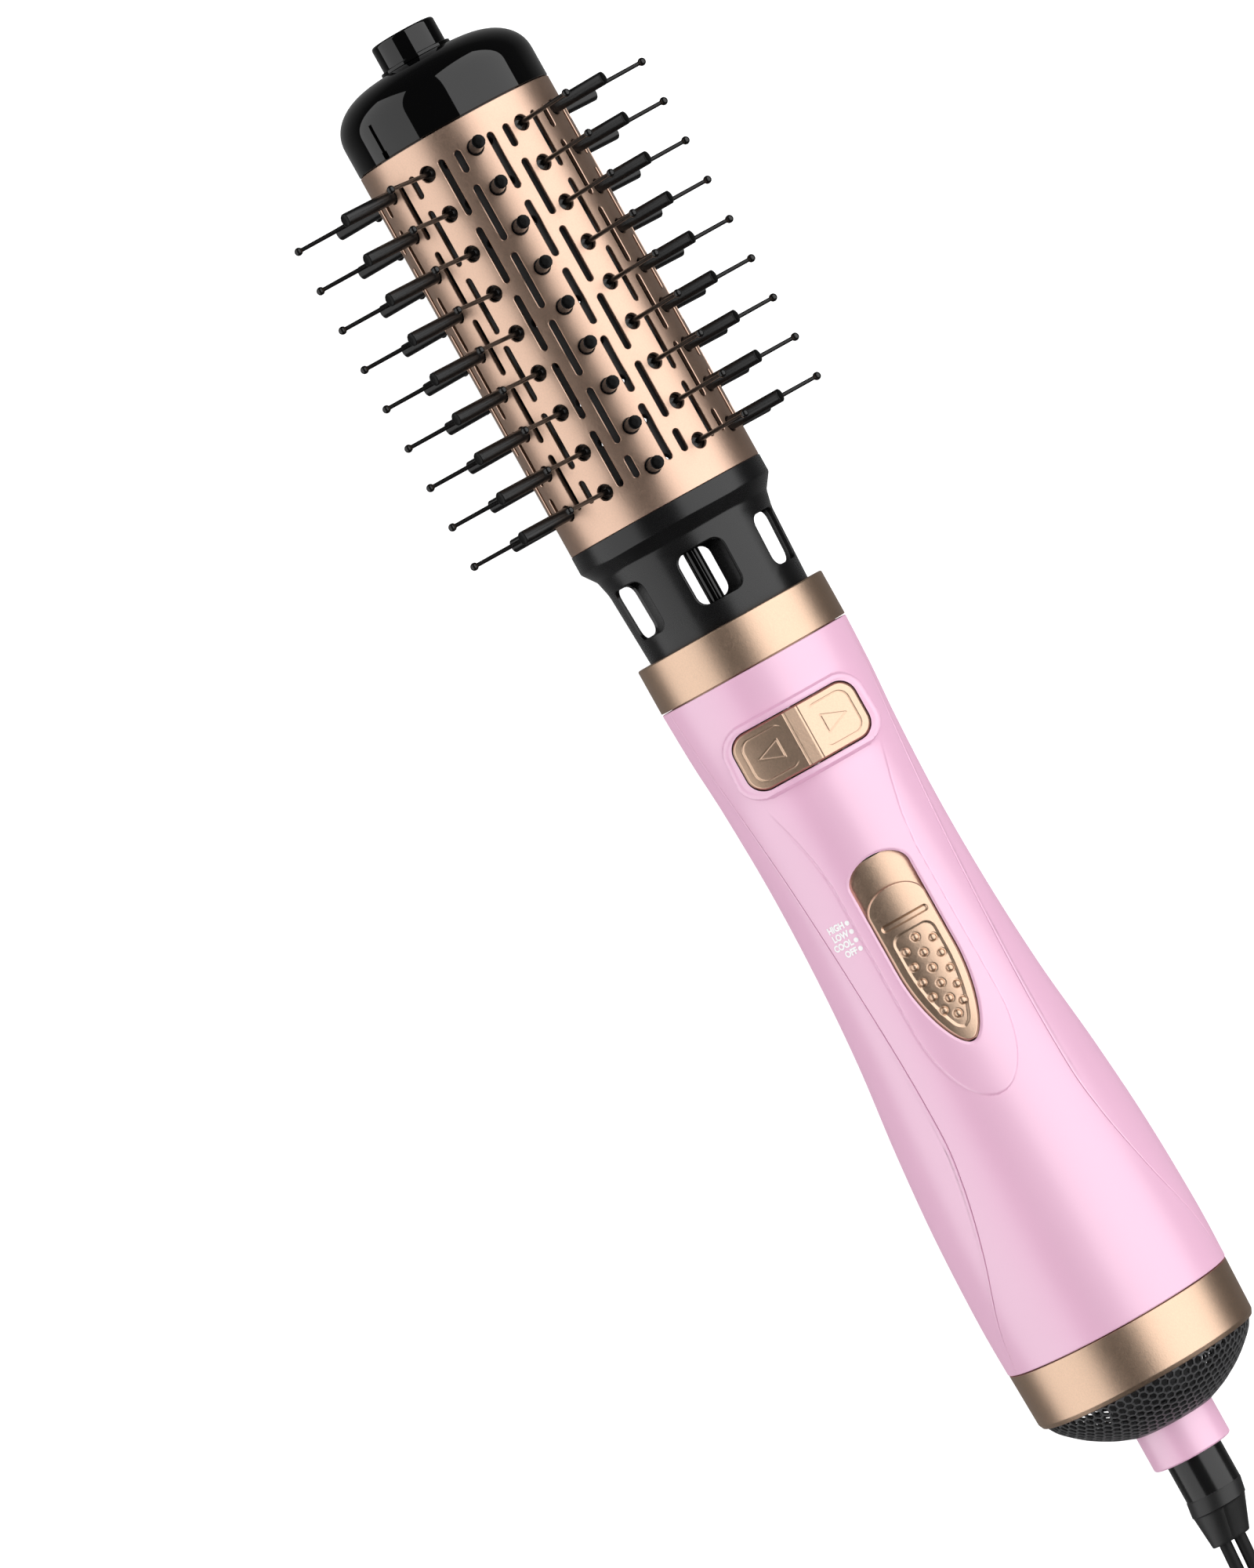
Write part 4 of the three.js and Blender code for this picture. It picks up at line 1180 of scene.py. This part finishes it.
def make_rod():
    """The drive rod with its hexagonal nose."""
    rod = rounded([(45.5, 0, 0), (45.5, 1.95, 0.3), (264.2, 1.95, 0.4), (264.2, 0, 0)])
    solid = Solid().add(*lathe(rod, 40))
    nose = ((33, 1.7), (33.6, 2.22), (45.4, 2.22), (46, 1.9))
    solid.add(*loft([[polar(s, r, 60 * i + 30) for i in range(6)] for s, r in nose]))
    piece("drive_shaft", solid.verts, solid.faces, ROD_BLACK, "drive", "steel", ("drive_rod",), crease=30)


# Handle


def make_rings():
    turned("front_band", [
        (157.1, 21.4, 0.3), (157.1, 24.5, 0.45), (168.6, 24.5, 0.2), (168.6, 21.8, 0), (175, 21.8, 0.2),
        (175, 18.9, 0.2), (164.6, 18.9, 0), (164.6, 21.4, 0),
    ], GOLD_TRIM, "handle", "trim_gold", ("front_ring",), 160)
    turned("rear_band", [
        (343.3, 28.85, 0.2), (356.6, 28.47, 0.9), (357.8, 27.9, 0.3), (357.8, 27.5, 0.15), (351.6, 27.5, 0),
        (351.6, 25.4, 0.2), (337.5, 25.4, 0.2), (337.5, 26.6, 0.2), (343.3, 26.6, 0),
    ], GOLD_TRIM, "handle", "trim_gold", ("rear_ring",), 160)
    turned("collar_sleeve", [
        (366.5, 7.4, 0.2), (366.5, 12, 0.3), (367.5, 12, 0.3), (367.5, 10.05, 0.3), (379.7, 10.05, 0.6),
        (379.7, 7.4, 0.35),
    ], PINK, "handle", "pink_plastic", ("cord_collar",), 96)


def make_grille():
    """The outlet's ring, with six spokes to the drive rod's bearing."""
    solid = Solid()
    for outline in ([(170, 16.6, 0.3), (170, 18.5, 0.3), (173, 18.5, 0.3), (173, 16.6, 0.3)],
                    [(170, 2.35, 0.1), (170, 4.6, 0.4), (173, 4.6, 0.4), (173, 2.35, 0.1)]):
        solid.add(*lathe(rounded(outline), 64))
    for bar in spokes(6, 30, 3.0, 1.6, (4.3, 16.9), 171.5):
        solid.add(*bar)
    piece("outlet_spokes", solid.verts, solid.faces, RUBBER, "handle", "satin_black", ("outlet_grille",))


RECESS_OUTLINE = tongue(RECESS)


def island_half(station):
    """Half the width of the raised island round the slider, as y."""
    knots = np.array(ISLAND_HALF, float)
    wide = np.interp(station, knots[:, 0], knots[:, 1])
    start, length = ISLAND_END
    share = np.clip((station - start) / length, 0, 1)
    return np.where(station > start, knots[-1, 1] * np.sqrt(np.maximum(1 - share ** 2, 0)), wide)


def island_points():
    start, length = ISLAND_END
    arch = start + length * np.sin(np.linspace(0, np.pi / 2, 40))
    stations = np.concatenate([np.linspace(ISLAND_HALF[0][0], start, 60), arch])
    side = np.stack([stations, island_half(stations)], 1)
    return np.vstack([side, side[-2::-1] * [1, -1]])


ISLAND_OUTLINE = island_points()


def handle_surface(station, degrees, edge_gap):
    """The handle's outer radius with its raised island, the rocker's rim and the rounded edges.
    edge_gap is the distance to the seam, in millimetres."""
    base = handle_radius(station)
    turn = np.radians(degrees)
    y = base * np.sin(turn)
    radius = base.copy()
    above = np.cos(turn) > 0.3
    near = above & (station > 196) & (station < 284) & (np.abs(y) < 18)
    step = np.zeros_like(base)
    step[near] = outline_distance(station[near], y[near], ISLAND_OUTLINE)
    rise = 0.45 * (1 - smoothstep(step, -0.25, 0.2)) * smoothstep(station, 197.5, 206)
    ditch = 0.07 * np.exp(-((step - 0.3) / 0.18) ** 2) * smoothstep(station, 200, 210)
    radius[near] += (rise - ditch)[near]
    x = station - ROCKER_STATION
    rim = box_distance(x, y, *RIM_SIZE)
    crown = 25.75 - 0.5 * np.cos(turn)
    lift = (1 - smoothstep(rim, -0.35, 0.35)) * 0.8 + 0.2 * np.exp(-np.maximum(rim, 0) / 1.4)
    lift = np.where(above & (rim < 7), lift * (1 - smoothstep(rim, 4, 7)), 0)
    radius += np.maximum(crown - base, 0) * lift
    opening = box_distance(x, y, *OPENING_SIZE)
    radius -= np.where(above, 0.3 * (1 - smoothstep(opening, -0.05, 0.45)), 0)
    hollow = above & (station > 216) & (station < 273) & (np.abs(y) < 12)
    lip = np.full_like(base, 9.0)
    lip[hollow] = outline_distance(station[hollow], y[hollow], RECESS_OUTLINE)
    radius -= 0.35 * (1 - smoothstep(lip, -0.1, 0.55))
    ends = np.minimum(station - 168.9, 343.0 - station)
    edge = np.minimum(edge_gap, ends + 0.02)
    return radius - 0.16 * (1 - smoothstep(edge, 0, 0.32)) ** 2


def seam_gap(station, degrees):
    """Millimetres from the seam, on either side of it."""
    return np.abs(np.abs(degrees) - seam_angle(station)) * math.pi / 180 * handle_radius(station)


def surface_normals(points):
    """True normals of the handle's outer surface at points on it."""
    station = -points[:, 0]
    degrees = np.degrees(np.arctan2(-points[:, 1], points[:, 2]))

    def at(s, d):
        radius = handle_surface(s, d, seam_gap(s, d))
        turn = np.radians(d)
        return np.stack([-s, -radius * np.sin(turn), radius * np.cos(turn)], 1)

    small_s, small_d = 0.06, 0.15
    along = at(station + small_s, degrees) - at(station - small_s, degrees)
    around = at(station, degrees + small_d) - at(station, degrees - small_d)
    normal = np.cross(around, along)
    normal /= np.linalg.norm(normal, axis=1)[:, None]
    inward = np.einsum("ij,ij->i", normal, points * [0, 1, 1]) < 0
    normal[inward] *= -1
    return normal


def shell_rows():
    steps = [(168.9, 169.5, 0.1), (169.5, 177, 0.75), (177, 200.2, 0.29), (200.2, 218.6, 0.6),
             (218.6, 222.5, 0.26), (222.5, 262, 0.6), (262, 284, 0.3), (284, 342.4, 0.9), (342.4, 343, 0.1)]
    rows = [np.arange(round((high - low) / step)) * step + low for low, high, step in steps]
    return np.append(np.concatenate(rows), 343.0)


def shell_grid(from_angle, to_angle, columns):
    """A closed shell, 2 mm thick, between two angles that change with the station."""
    rows = shell_rows()
    edge_steps = np.array([0, 0.002, 0.0045, 0.008])
    share = np.concatenate([edge_steps, np.linspace(0, 1, columns)[1:-1], 1 - edge_steps[::-1]])
    s = np.repeat(rows[:, None], len(share), 1)
    low, high = from_angle(rows)[:, None], to_angle(rows)[:, None]
    degrees = low + (high - low) * share[None]
    gap = np.minimum(degrees - low, high - degrees) * math.pi / 180 * handle_radius(s)
    radius = handle_surface(s.ravel(), degrees.ravel(), gap.ravel()).reshape(s.shape)
    turn = np.radians(degrees)

    def layer(reach):
        return np.stack([-s, -reach * np.sin(turn), reach * np.cos(turn)], -1).reshape(-1, 3)

    return closed_grid(layer(radius), layer(handle_radius(s) - 2), s.shape)


def closed_grid(outer, inner, shape):
    """Two grids of points joined round their edges, with a flag for each face of the first grid."""
    rows, columns = shape
    index = np.arange(rows * columns).reshape(rows, columns)
    quads = np.stack([index[:-1, :-1], index[:-1, 1:], index[1:, 1:], index[1:, :-1]], -1).reshape(-1, 4)
    under = quads[:, ::-1] + rows * columns
    edge = np.concatenate([index[0, :-1], index[:-1, -1], index[-1, :0:-1], index[:0:-1, 0]])
    ahead = np.roll(edge, -1)
    wall = np.stack([ahead, edge, edge + rows * columns, ahead + rows * columns], 1)
    faces = np.concatenate([quads, under, wall])
    flags = np.arange(len(faces)) < len(quads)
    return np.concatenate([outer, inner]), faces, flags


def outside_faces(mesh):
    """Flags the faces that lie on the handle's outer surface."""
    x, y, z = mesh_points(mesh).T
    degrees = np.degrees(np.arctan2(-y, z))
    radius = handle_surface(-x, degrees, seam_gap(-x, degrees))
    on = np.abs(np.hypot(y, z) - radius) < 0.09
    flags = []
    for face in mesh.polygons:
        out = Vector((0, face.center.y, face.center.z)).normalized()
        flags.append(face.normal.dot(out) > 0.25 and all(on[v] for v in face.vertices))
    return flags


def make_shell(name, node, from_angle, to_angle, columns, cutters):
    verts, faces, _ = shell_grid(from_angle, to_angle, columns)
    mesh = carve(helper(f"{name}_blank", verts, faces), cutters)
    normals = corner_normals(mesh, outside_faces(mesh), surface_normals)
    dress(mesh, name, PINK, "handle", "pink_plastic", (node,), normals=normals)


def make_shells():
    """The two covers, a hair apart at their seams, with their openings and screw wells."""

    def seam(s, gap):
        return seam_angle(s) + np.degrees(gap / handle_radius(s))

    half_gap = 0.09
    plans = rounded_plan(ROCKER_STATION, *OPENING_SIZE), RECESS_OUTLINE.tolist()
    openings = [helper(f"opening_{k}", *prism(plan, 8, 34)) for k, plan in enumerate(plans)]
    make_shell("top_cover", "top_shell",
               lambda s: -seam(s, -half_gap), lambda s: seam(s, -half_gap), 190, openings)
    well = 3.2
    rings = [[(SCREW_STATION + well * math.cos(t), y + well * math.sin(t)) for t in circle(40)]
             for y in SCREW_Y]
    wells = [helper(f"well_{k}", *prism(ring, -40, -5)) for k, ring in enumerate(rings)]
    make_shell("bottom_cover", "bottom_shell",
               lambda s: seam(s, half_gap), lambda s: 360 - seam(s, half_gap), 200, wells)


def make_screws():
    """The two screws of the lower cover, with round sockets in their sunken heads."""
    shape, faces = upright([
        (-19.5, 0), (-19.5, 0.95), (-20.6, 1.15), (-20.6, 2.3), (-20.4, 2.62), (-20.0, 2.75), (-18.9, 2.75),
        (-18.9, 1.45), (4.9, 1.45), (4.9, 0),
    ], 48)
    solid = Solid()
    for y in SCREW_Y:
        solid.add([(x - SCREW_STATION, across + y, z) for x, across, z in shape], faces)
    piece("cover_screws", solid.verts, solid.faces, STEEL, "handle", "steel",
          ("shell_screw_1", "shell_screw_2"))


# Controls

ROCKER_OUTLINE = np.array(rounded_plan(ROCKER_STATION, *ROCKER_SIZE, steps=16))
SLIDER_OUTLINE = tongue(SLIDER)
TRACK_OUTLINE = tongue(TRACK)


def plate(name, outline, rows, columns, top, bottom, material, body, finish, nodes):
    """A plate whose plan is an outline, with its upper face given as z over station and y."""
    reach = half_width(outline, rows)
    reach[0] = reach[-1] = 0.02
    share = np.sin(np.linspace(-np.pi / 2, np.pi / 2, columns)) * 0.35 + np.linspace(-1, 1, columns) * 0.65
    s = np.repeat(rows[:, None], columns, 1)
    y = reach[:, None] * share[None]
    upper = np.stack([-s, y, top(s, y)], -1).reshape(-1, 3)
    lower = np.stack([-s, y, bottom(s, y)], -1).reshape(-1, 3)
    verts, faces, flags = closed_grid(upper, lower, s.shape)
    mesh = bpy.data.meshes.new(name)
    mesh.from_pydata((verts * MM).tolist(), [], faces[:, ::-1].tolist())

    def normal_at(points):
        small = 0.04
        px, py = -points[:, 0], points[:, 1]
        slope_s = (top(px + small, py) - top(px - small, py)) / (2 * small)
        slope_y = (top(px, py + small) - top(px, py - small)) / (2 * small)
        out = np.stack([slope_s, -slope_y, np.ones_like(slope_s)], 1)
        return out / np.linalg.norm(out, axis=1)[:, None]

    mesh.update()
    if mesh.polygons[len(mesh.polygons) // 4].normal.z < 0:
        mesh.flip_normals()
    normals = corner_normals(mesh, flags, normal_at)
    return dress(mesh, name, material, body, finish, nodes, normals=normals, crease=50)


def rocker_top(station, y):
    """Two flat halves that fall away from a level strip, engraved with an outline and an arrow each."""
    x = station - ROCKER_STATION
    far = np.maximum(np.abs(y) - 1.6, 0)
    share = far / 14.4
    z = 24.47 - 4.3 * share - 0.6 * share ** 4
    edge = -box_distance(x, y, *ROCKER_SIZE)
    z = z - 0.45 * (1 - smoothstep(edge, -0.05, 0.6)) ** 2
    z = z + groove(np.abs(y) - 1.75, 0.2, 0.16)
    border = np.abs(box_distance(x, np.abs(y) - 8.45, 10.6, 10.9, 2.6))
    z = z + groove(border, 0.16, 0.16) * smoothstep(np.abs(y), 3.4, 5.2)
    corners = [(-2.3, 5.8), (2.3, 5.8), (0, 11.6)]
    arrow = np.full(np.shape(x), 9.0)
    for a, b in zip(corners, corners[1:] + corners[:1]):
        arrow = np.minimum(arrow, segment_distance(x, np.abs(y), a, b))
    return z + groove(arrow, 0.15, 0.13)


def slider_top(station, y):
    """The slider's crowned face with its groove, its sunken grip panel and sixteen domes."""
    z = over_handle(station, y, 0.42)
    outside = outline_distance(station, y, SLIDER_OUTLINE)
    z = z - 0.4 * (1 - smoothstep(-outside, -0.05, 0.55)) ** 2
    slot = box_distance(station - 236.8, y, 1.5, 11.8, 0.74)
    z = z - 0.5 * (1 - smoothstep(slot, -0.45, 0.28))
    panel_edge = meet(meet(outside + 1.95, 239.2 - station, 2.6), station - 265.8, 2.2)
    z = z - 0.34 * (1 - smoothstep(panel_edge, -0.7, 0.15))
    domes = [(241.7 + 4.02 * i, 0) for i in range(6)]
    domes += [(243.7 + 4.02 * i, side * (3.6 if i < 3 else 3.2)) for i in range(4) for side in (-1, 1)]
    domes += [(259.7, side * 2.5) for side in (-1, 1)]
    for s, at in domes:
        away = np.hypot(station - s, y - at)
        z = z + np.where(away < 0.95, np.sqrt(np.maximum(0.92 ** 2 - away ** 2, 0)) * 0.8, 0)
        z = z - 0.1 * np.exp(-((away - 1.05) / 0.16) ** 2)
    return z


def plate_rows(front, rear, first, last, counts):
    """Stations along a plate, closer together over its first and last stretch."""

    def bunched(length, count):
        return length * (1 - np.cos(np.linspace(0, np.pi / 2, count)))

    middle = np.linspace(front + first, rear - last, counts[1])[1:-1]
    end = rear - bunched(last, counts[2])
    return np.concatenate([front + bunched(first, counts[0]), middle, end[::-1]])


def make_controls():
    """The rocker, the slider and the slider's floor."""
    rows = plate_rows(ROCKER_STATION - 7.15, ROCKER_STATION + 7.15, 1.2, 1.2, (12, 78, 12))
    plate("rocker_key", ROCKER_OUTLINE, rows, 250, rocker_top,
          lambda s, y: 17.75 + 3.2 * (1 - np.clip((np.abs(y) - 1) / 15, 0, 1)),
          GOLD_TRIM, "rocker", "trim_gold", ("rocker",))
    rows = plate_rows(SLIDER[0], SLIDER[1], 1.6, 0.8, (14, 200, 12))
    plate("slider_cap", SLIDER_OUTLINE, rows, 90, slider_top, lambda s, y: over_handle(s, y, -0.6),
          GOLD_TRIM, "slider", "trim_gold", ("slide_switch",))
    rows = plate_rows(220.6, 268.7, 1.6, 0.7, (14, 60, 12))
    plate("slider_track", TRACK_OUTLINE, rows, 40,
          lambda s, y: over_handle(s, y, -0.95) - 0.004 * (y / 7) ** 2,
          lambda s, y: over_handle(s, y, -2.0),
          GOLD_TRIM, "handle", "trim_gold", ("track_plate",))


def on_handle(along, across, above, station, degrees):
    """Wraps a flat drawing onto the handle: across runs to the right and along runs to the tip."""
    s = station - along
    turn = degrees + math.degrees(across / float(handle_radius(s)))
    base = float(handle_surface(np.array([s]), np.array([turn]), np.array([9.0]))[0])
    return polar(s, base + above, turn)


def flat_word(word):
    """The word as a thin mesh that ends at the origin."""
    curve = bpy.data.curves.new(word, "FONT")
    curve.body = word
    curve.size = 2.15
    curve.align_x = "RIGHT"
    curve.align_y = "CENTER"
    curve.offset = 0.1
    curve.resolution_u = 4
    curve.extrude = 0.02
    thing = add_object(word, curve)
    graph = bpy.context.evaluated_depsgraph_get()
    flat = bpy.data.meshes.new_from_object(thing.evaluated_get(graph))
    bpy.data.objects.remove(thing)
    return [tuple(v.co) for v in flat.vertices], [list(face.vertices) for face in flat.polygons]


def make_labels():
    """The switch's four positions, printed to the left of it, each with a dot."""
    degrees = -31.7
    dot = loft([[(r * math.cos(t), r * math.sin(t), z) for t in circle(24)]
                for z, r in ((-0.02, 0.6), (0.02, 0.6), (0.05, 0.5))])
    solid = Solid()
    for word, station in (("HIGH", 231.3), ("LOW", 233.5), ("COOL", 235.7), ("OFF", 237.9)):
        solid.add(*flat_word(word), move=lambda p, station=station: on_handle(
            p[1], p[0] * 0.95 - 0.95, p[2] + 0.07, station, degrees))
        solid.add(*dot, move=lambda p, station=station: on_handle(
            p[0], p[1], p[2] + 0.06, station, degrees))
    piece("switch_labels", solid.verts, solid.faces, LABEL_WHITE, "handle", "pink_plastic")


# Air inlet

DOME_CURVE = through([
    (356.0, 27.25), (358.0, 27.0), (359.6, 26.2), (361.6, 24.5), (365.2, 20.3), (368.3, 15.2),
    (370.3, 10.4),
], 30)[::-1]
DOME_HOLE = 10.4
DOME_STEPS = np.linalg.norm(np.diff(DOME_CURVE, axis=0), axis=1)
DOME_REACH = DOME_HOLE + np.concatenate([[0], np.cumsum(DOME_STEPS)])


def dome_place(distance):
    """Station, radius and outward direction at a distance along the dome's curve, hole included."""
    s = float(np.interp(distance, DOME_REACH, DOME_CURVE[:, 0]))
    r = float(np.interp(distance, DOME_REACH, DOME_CURVE[:, 1]))
    i = min(max(int(np.searchsorted(DOME_REACH, distance)), 1), len(DOME_CURVE) - 1)
    along = DOME_CURVE[i] - DOME_CURVE[i - 1]
    along /= np.linalg.norm(along)
    return s, r, (along[1], -along[0])


def dome_mesh():
    """A sheet of six-sided holes bent over the inlet, with a plain rim round it and inside it."""
    pitch, hole, bevel, depth = 2.48, 0.96, 0.1, 0.1
    inner, outer = DOME_HOLE, DOME_REACH[-1]
    places, verts, faces = {}, [], []
    turns = [math.radians(60 * k + 30) for k in range(6)]
    corners = [(math.cos(turn), math.sin(turn)) for turn in turns]

    def point(x, y, sink):
        key = (round(x * 200), round(y * 200), round(sink * 100))
        if key not in places:
            s, r, outward = dome_place(min(max(math.hypot(x, y), inner), outer))
            places[key] = len(verts)
            degrees = math.degrees(math.atan2(y, x))
            verts.append(polar(s - outward[0] * sink, r - outward[1] * sink, degrees))
        return places[key]

    def add_cell(cx, cy, away):
        def loop(reach, sink):
            return [point(cx + reach * c, cy + reach * s, sink) for c, s in corners]

        edge = loop(pitch / math.sqrt(3), 0)
        if not inner + 1.3 < away < outer - 1.15:
            face = list(dict.fromkeys(edge))
            if len(face) > 2:
                faces.append(face)
            return
        rim = hole * 2 / math.sqrt(3)
        lip, gap = loop(rim + bevel, 0.001), loop(rim, depth)
        for k in range(6):
            n = (k + 1) % 6
            faces.append([edge[k], edge[n], lip[n], lip[k]])
            faces.append([lip[k], lip[n], gap[n], gap[k]])

    row_gap = pitch * 0.866
    rows = int(outer / row_gap) + 2
    for j in range(-rows, rows + 1):
        for i in range(-rows - 4, rows + 5):
            cx, cy = pitch * (i + 0.5 * (j % 2)), row_gap * j
            away = math.hypot(cx, cy)
            if inner - pitch * 0.75 <= away <= outer + pitch * 0.55:
                add_cell(cx, cy, away)
    return mesh_of("inlet_dome", verts, faces, weld=2e-5, dissolve=1e-6)


def make_dome():
    """The domed grille, thickened inwards, with the ring it sits on and the strain relief's housing."""
    mesh = dome_mesh()
    middle = mesh.polygons[len(mesh.polygons) // 2]
    if Vector((middle.center.x + 0.36, middle.center.y, middle.center.z)).dot(middle.normal) < 0:
        mesh.flip_normals()
    dome = dress(mesh, "inlet_dome", MESH_BLACK, "handle", "satin_black", ("inlet_mesh",), crease=30)
    dome.modifiers.clear()
    thicken = dome.modifiers.new("thickness", "SOLIDIFY")
    thicken.thickness = 0.85 * MM
    thicken.offset = -1
    turned("inlet_rim", [(352, 25.9, 0.2), (352, 27.1, 0.2), (356.2, 27.1, 0.2), (356.2, 25.9, 0.2)],
           SATIN_BLACK, "handle", "satin_black", (), 120)
    turned("swivel_housing", [
        (345, 0, 0), (345, 12, 0.8), (364.6, 12, 0.6), (365.8, 12.8, 0.4), (368, 12.8, 0.2),
        (368, 12.15, 0.1), (366.4, 12.15, 0.1), (366.4, 9.7, 0.1), (347, 9.7, 0.2), (347, 0, 0),
    ], MATTE_BLACK, "handle", "satin_black", (), 64)


# Carried-over nodes

CAD_FINISHES = {
    "fan": MATTE_BLACK, "motor_pinion": STEEL, "gear_motor": STEEL,
    "rocker_pin": STEEL, "fan_motor": STEEL,
    "thermostat": STEEL, "heater_coil": STEEL, "heat_shield": FOIL, "heater_frame": MICA,
    "control_board": BOARD, "fan_duct": GREY, "gear_plate": GREY, "tact_switch_left": GREY,
    "tact_switch_right": GREY, "slide_switch_body": GREY, "drive_gear": NYLON,
}


def finish_frame_nodes():
    for name, material in CAD_FINISHES.items():
        NODES[name].data.materials.clear()
        NODES[name].data.materials.append(material)


bpy.context.scene.view_settings.view_transform = "Standard"
make_world()
place_camera()
place_lights()
make_floor()
plug = make_plug()
tie = make_tie()
make_boot()
make_lead()
make_knob()
make_cap()
make_barrel()
make_core()
make_strips()
make_neck()
make_rod()
make_rings()
make_grille()
make_shells()
make_screws()
make_controls()
make_labels()
make_dome()
finish_frame_nodes()

boxes = {"cad": CAD_BOX, "visual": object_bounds()}
lists = {key: [list(low), list(high)] for key, (low, high) in boxes.items()}
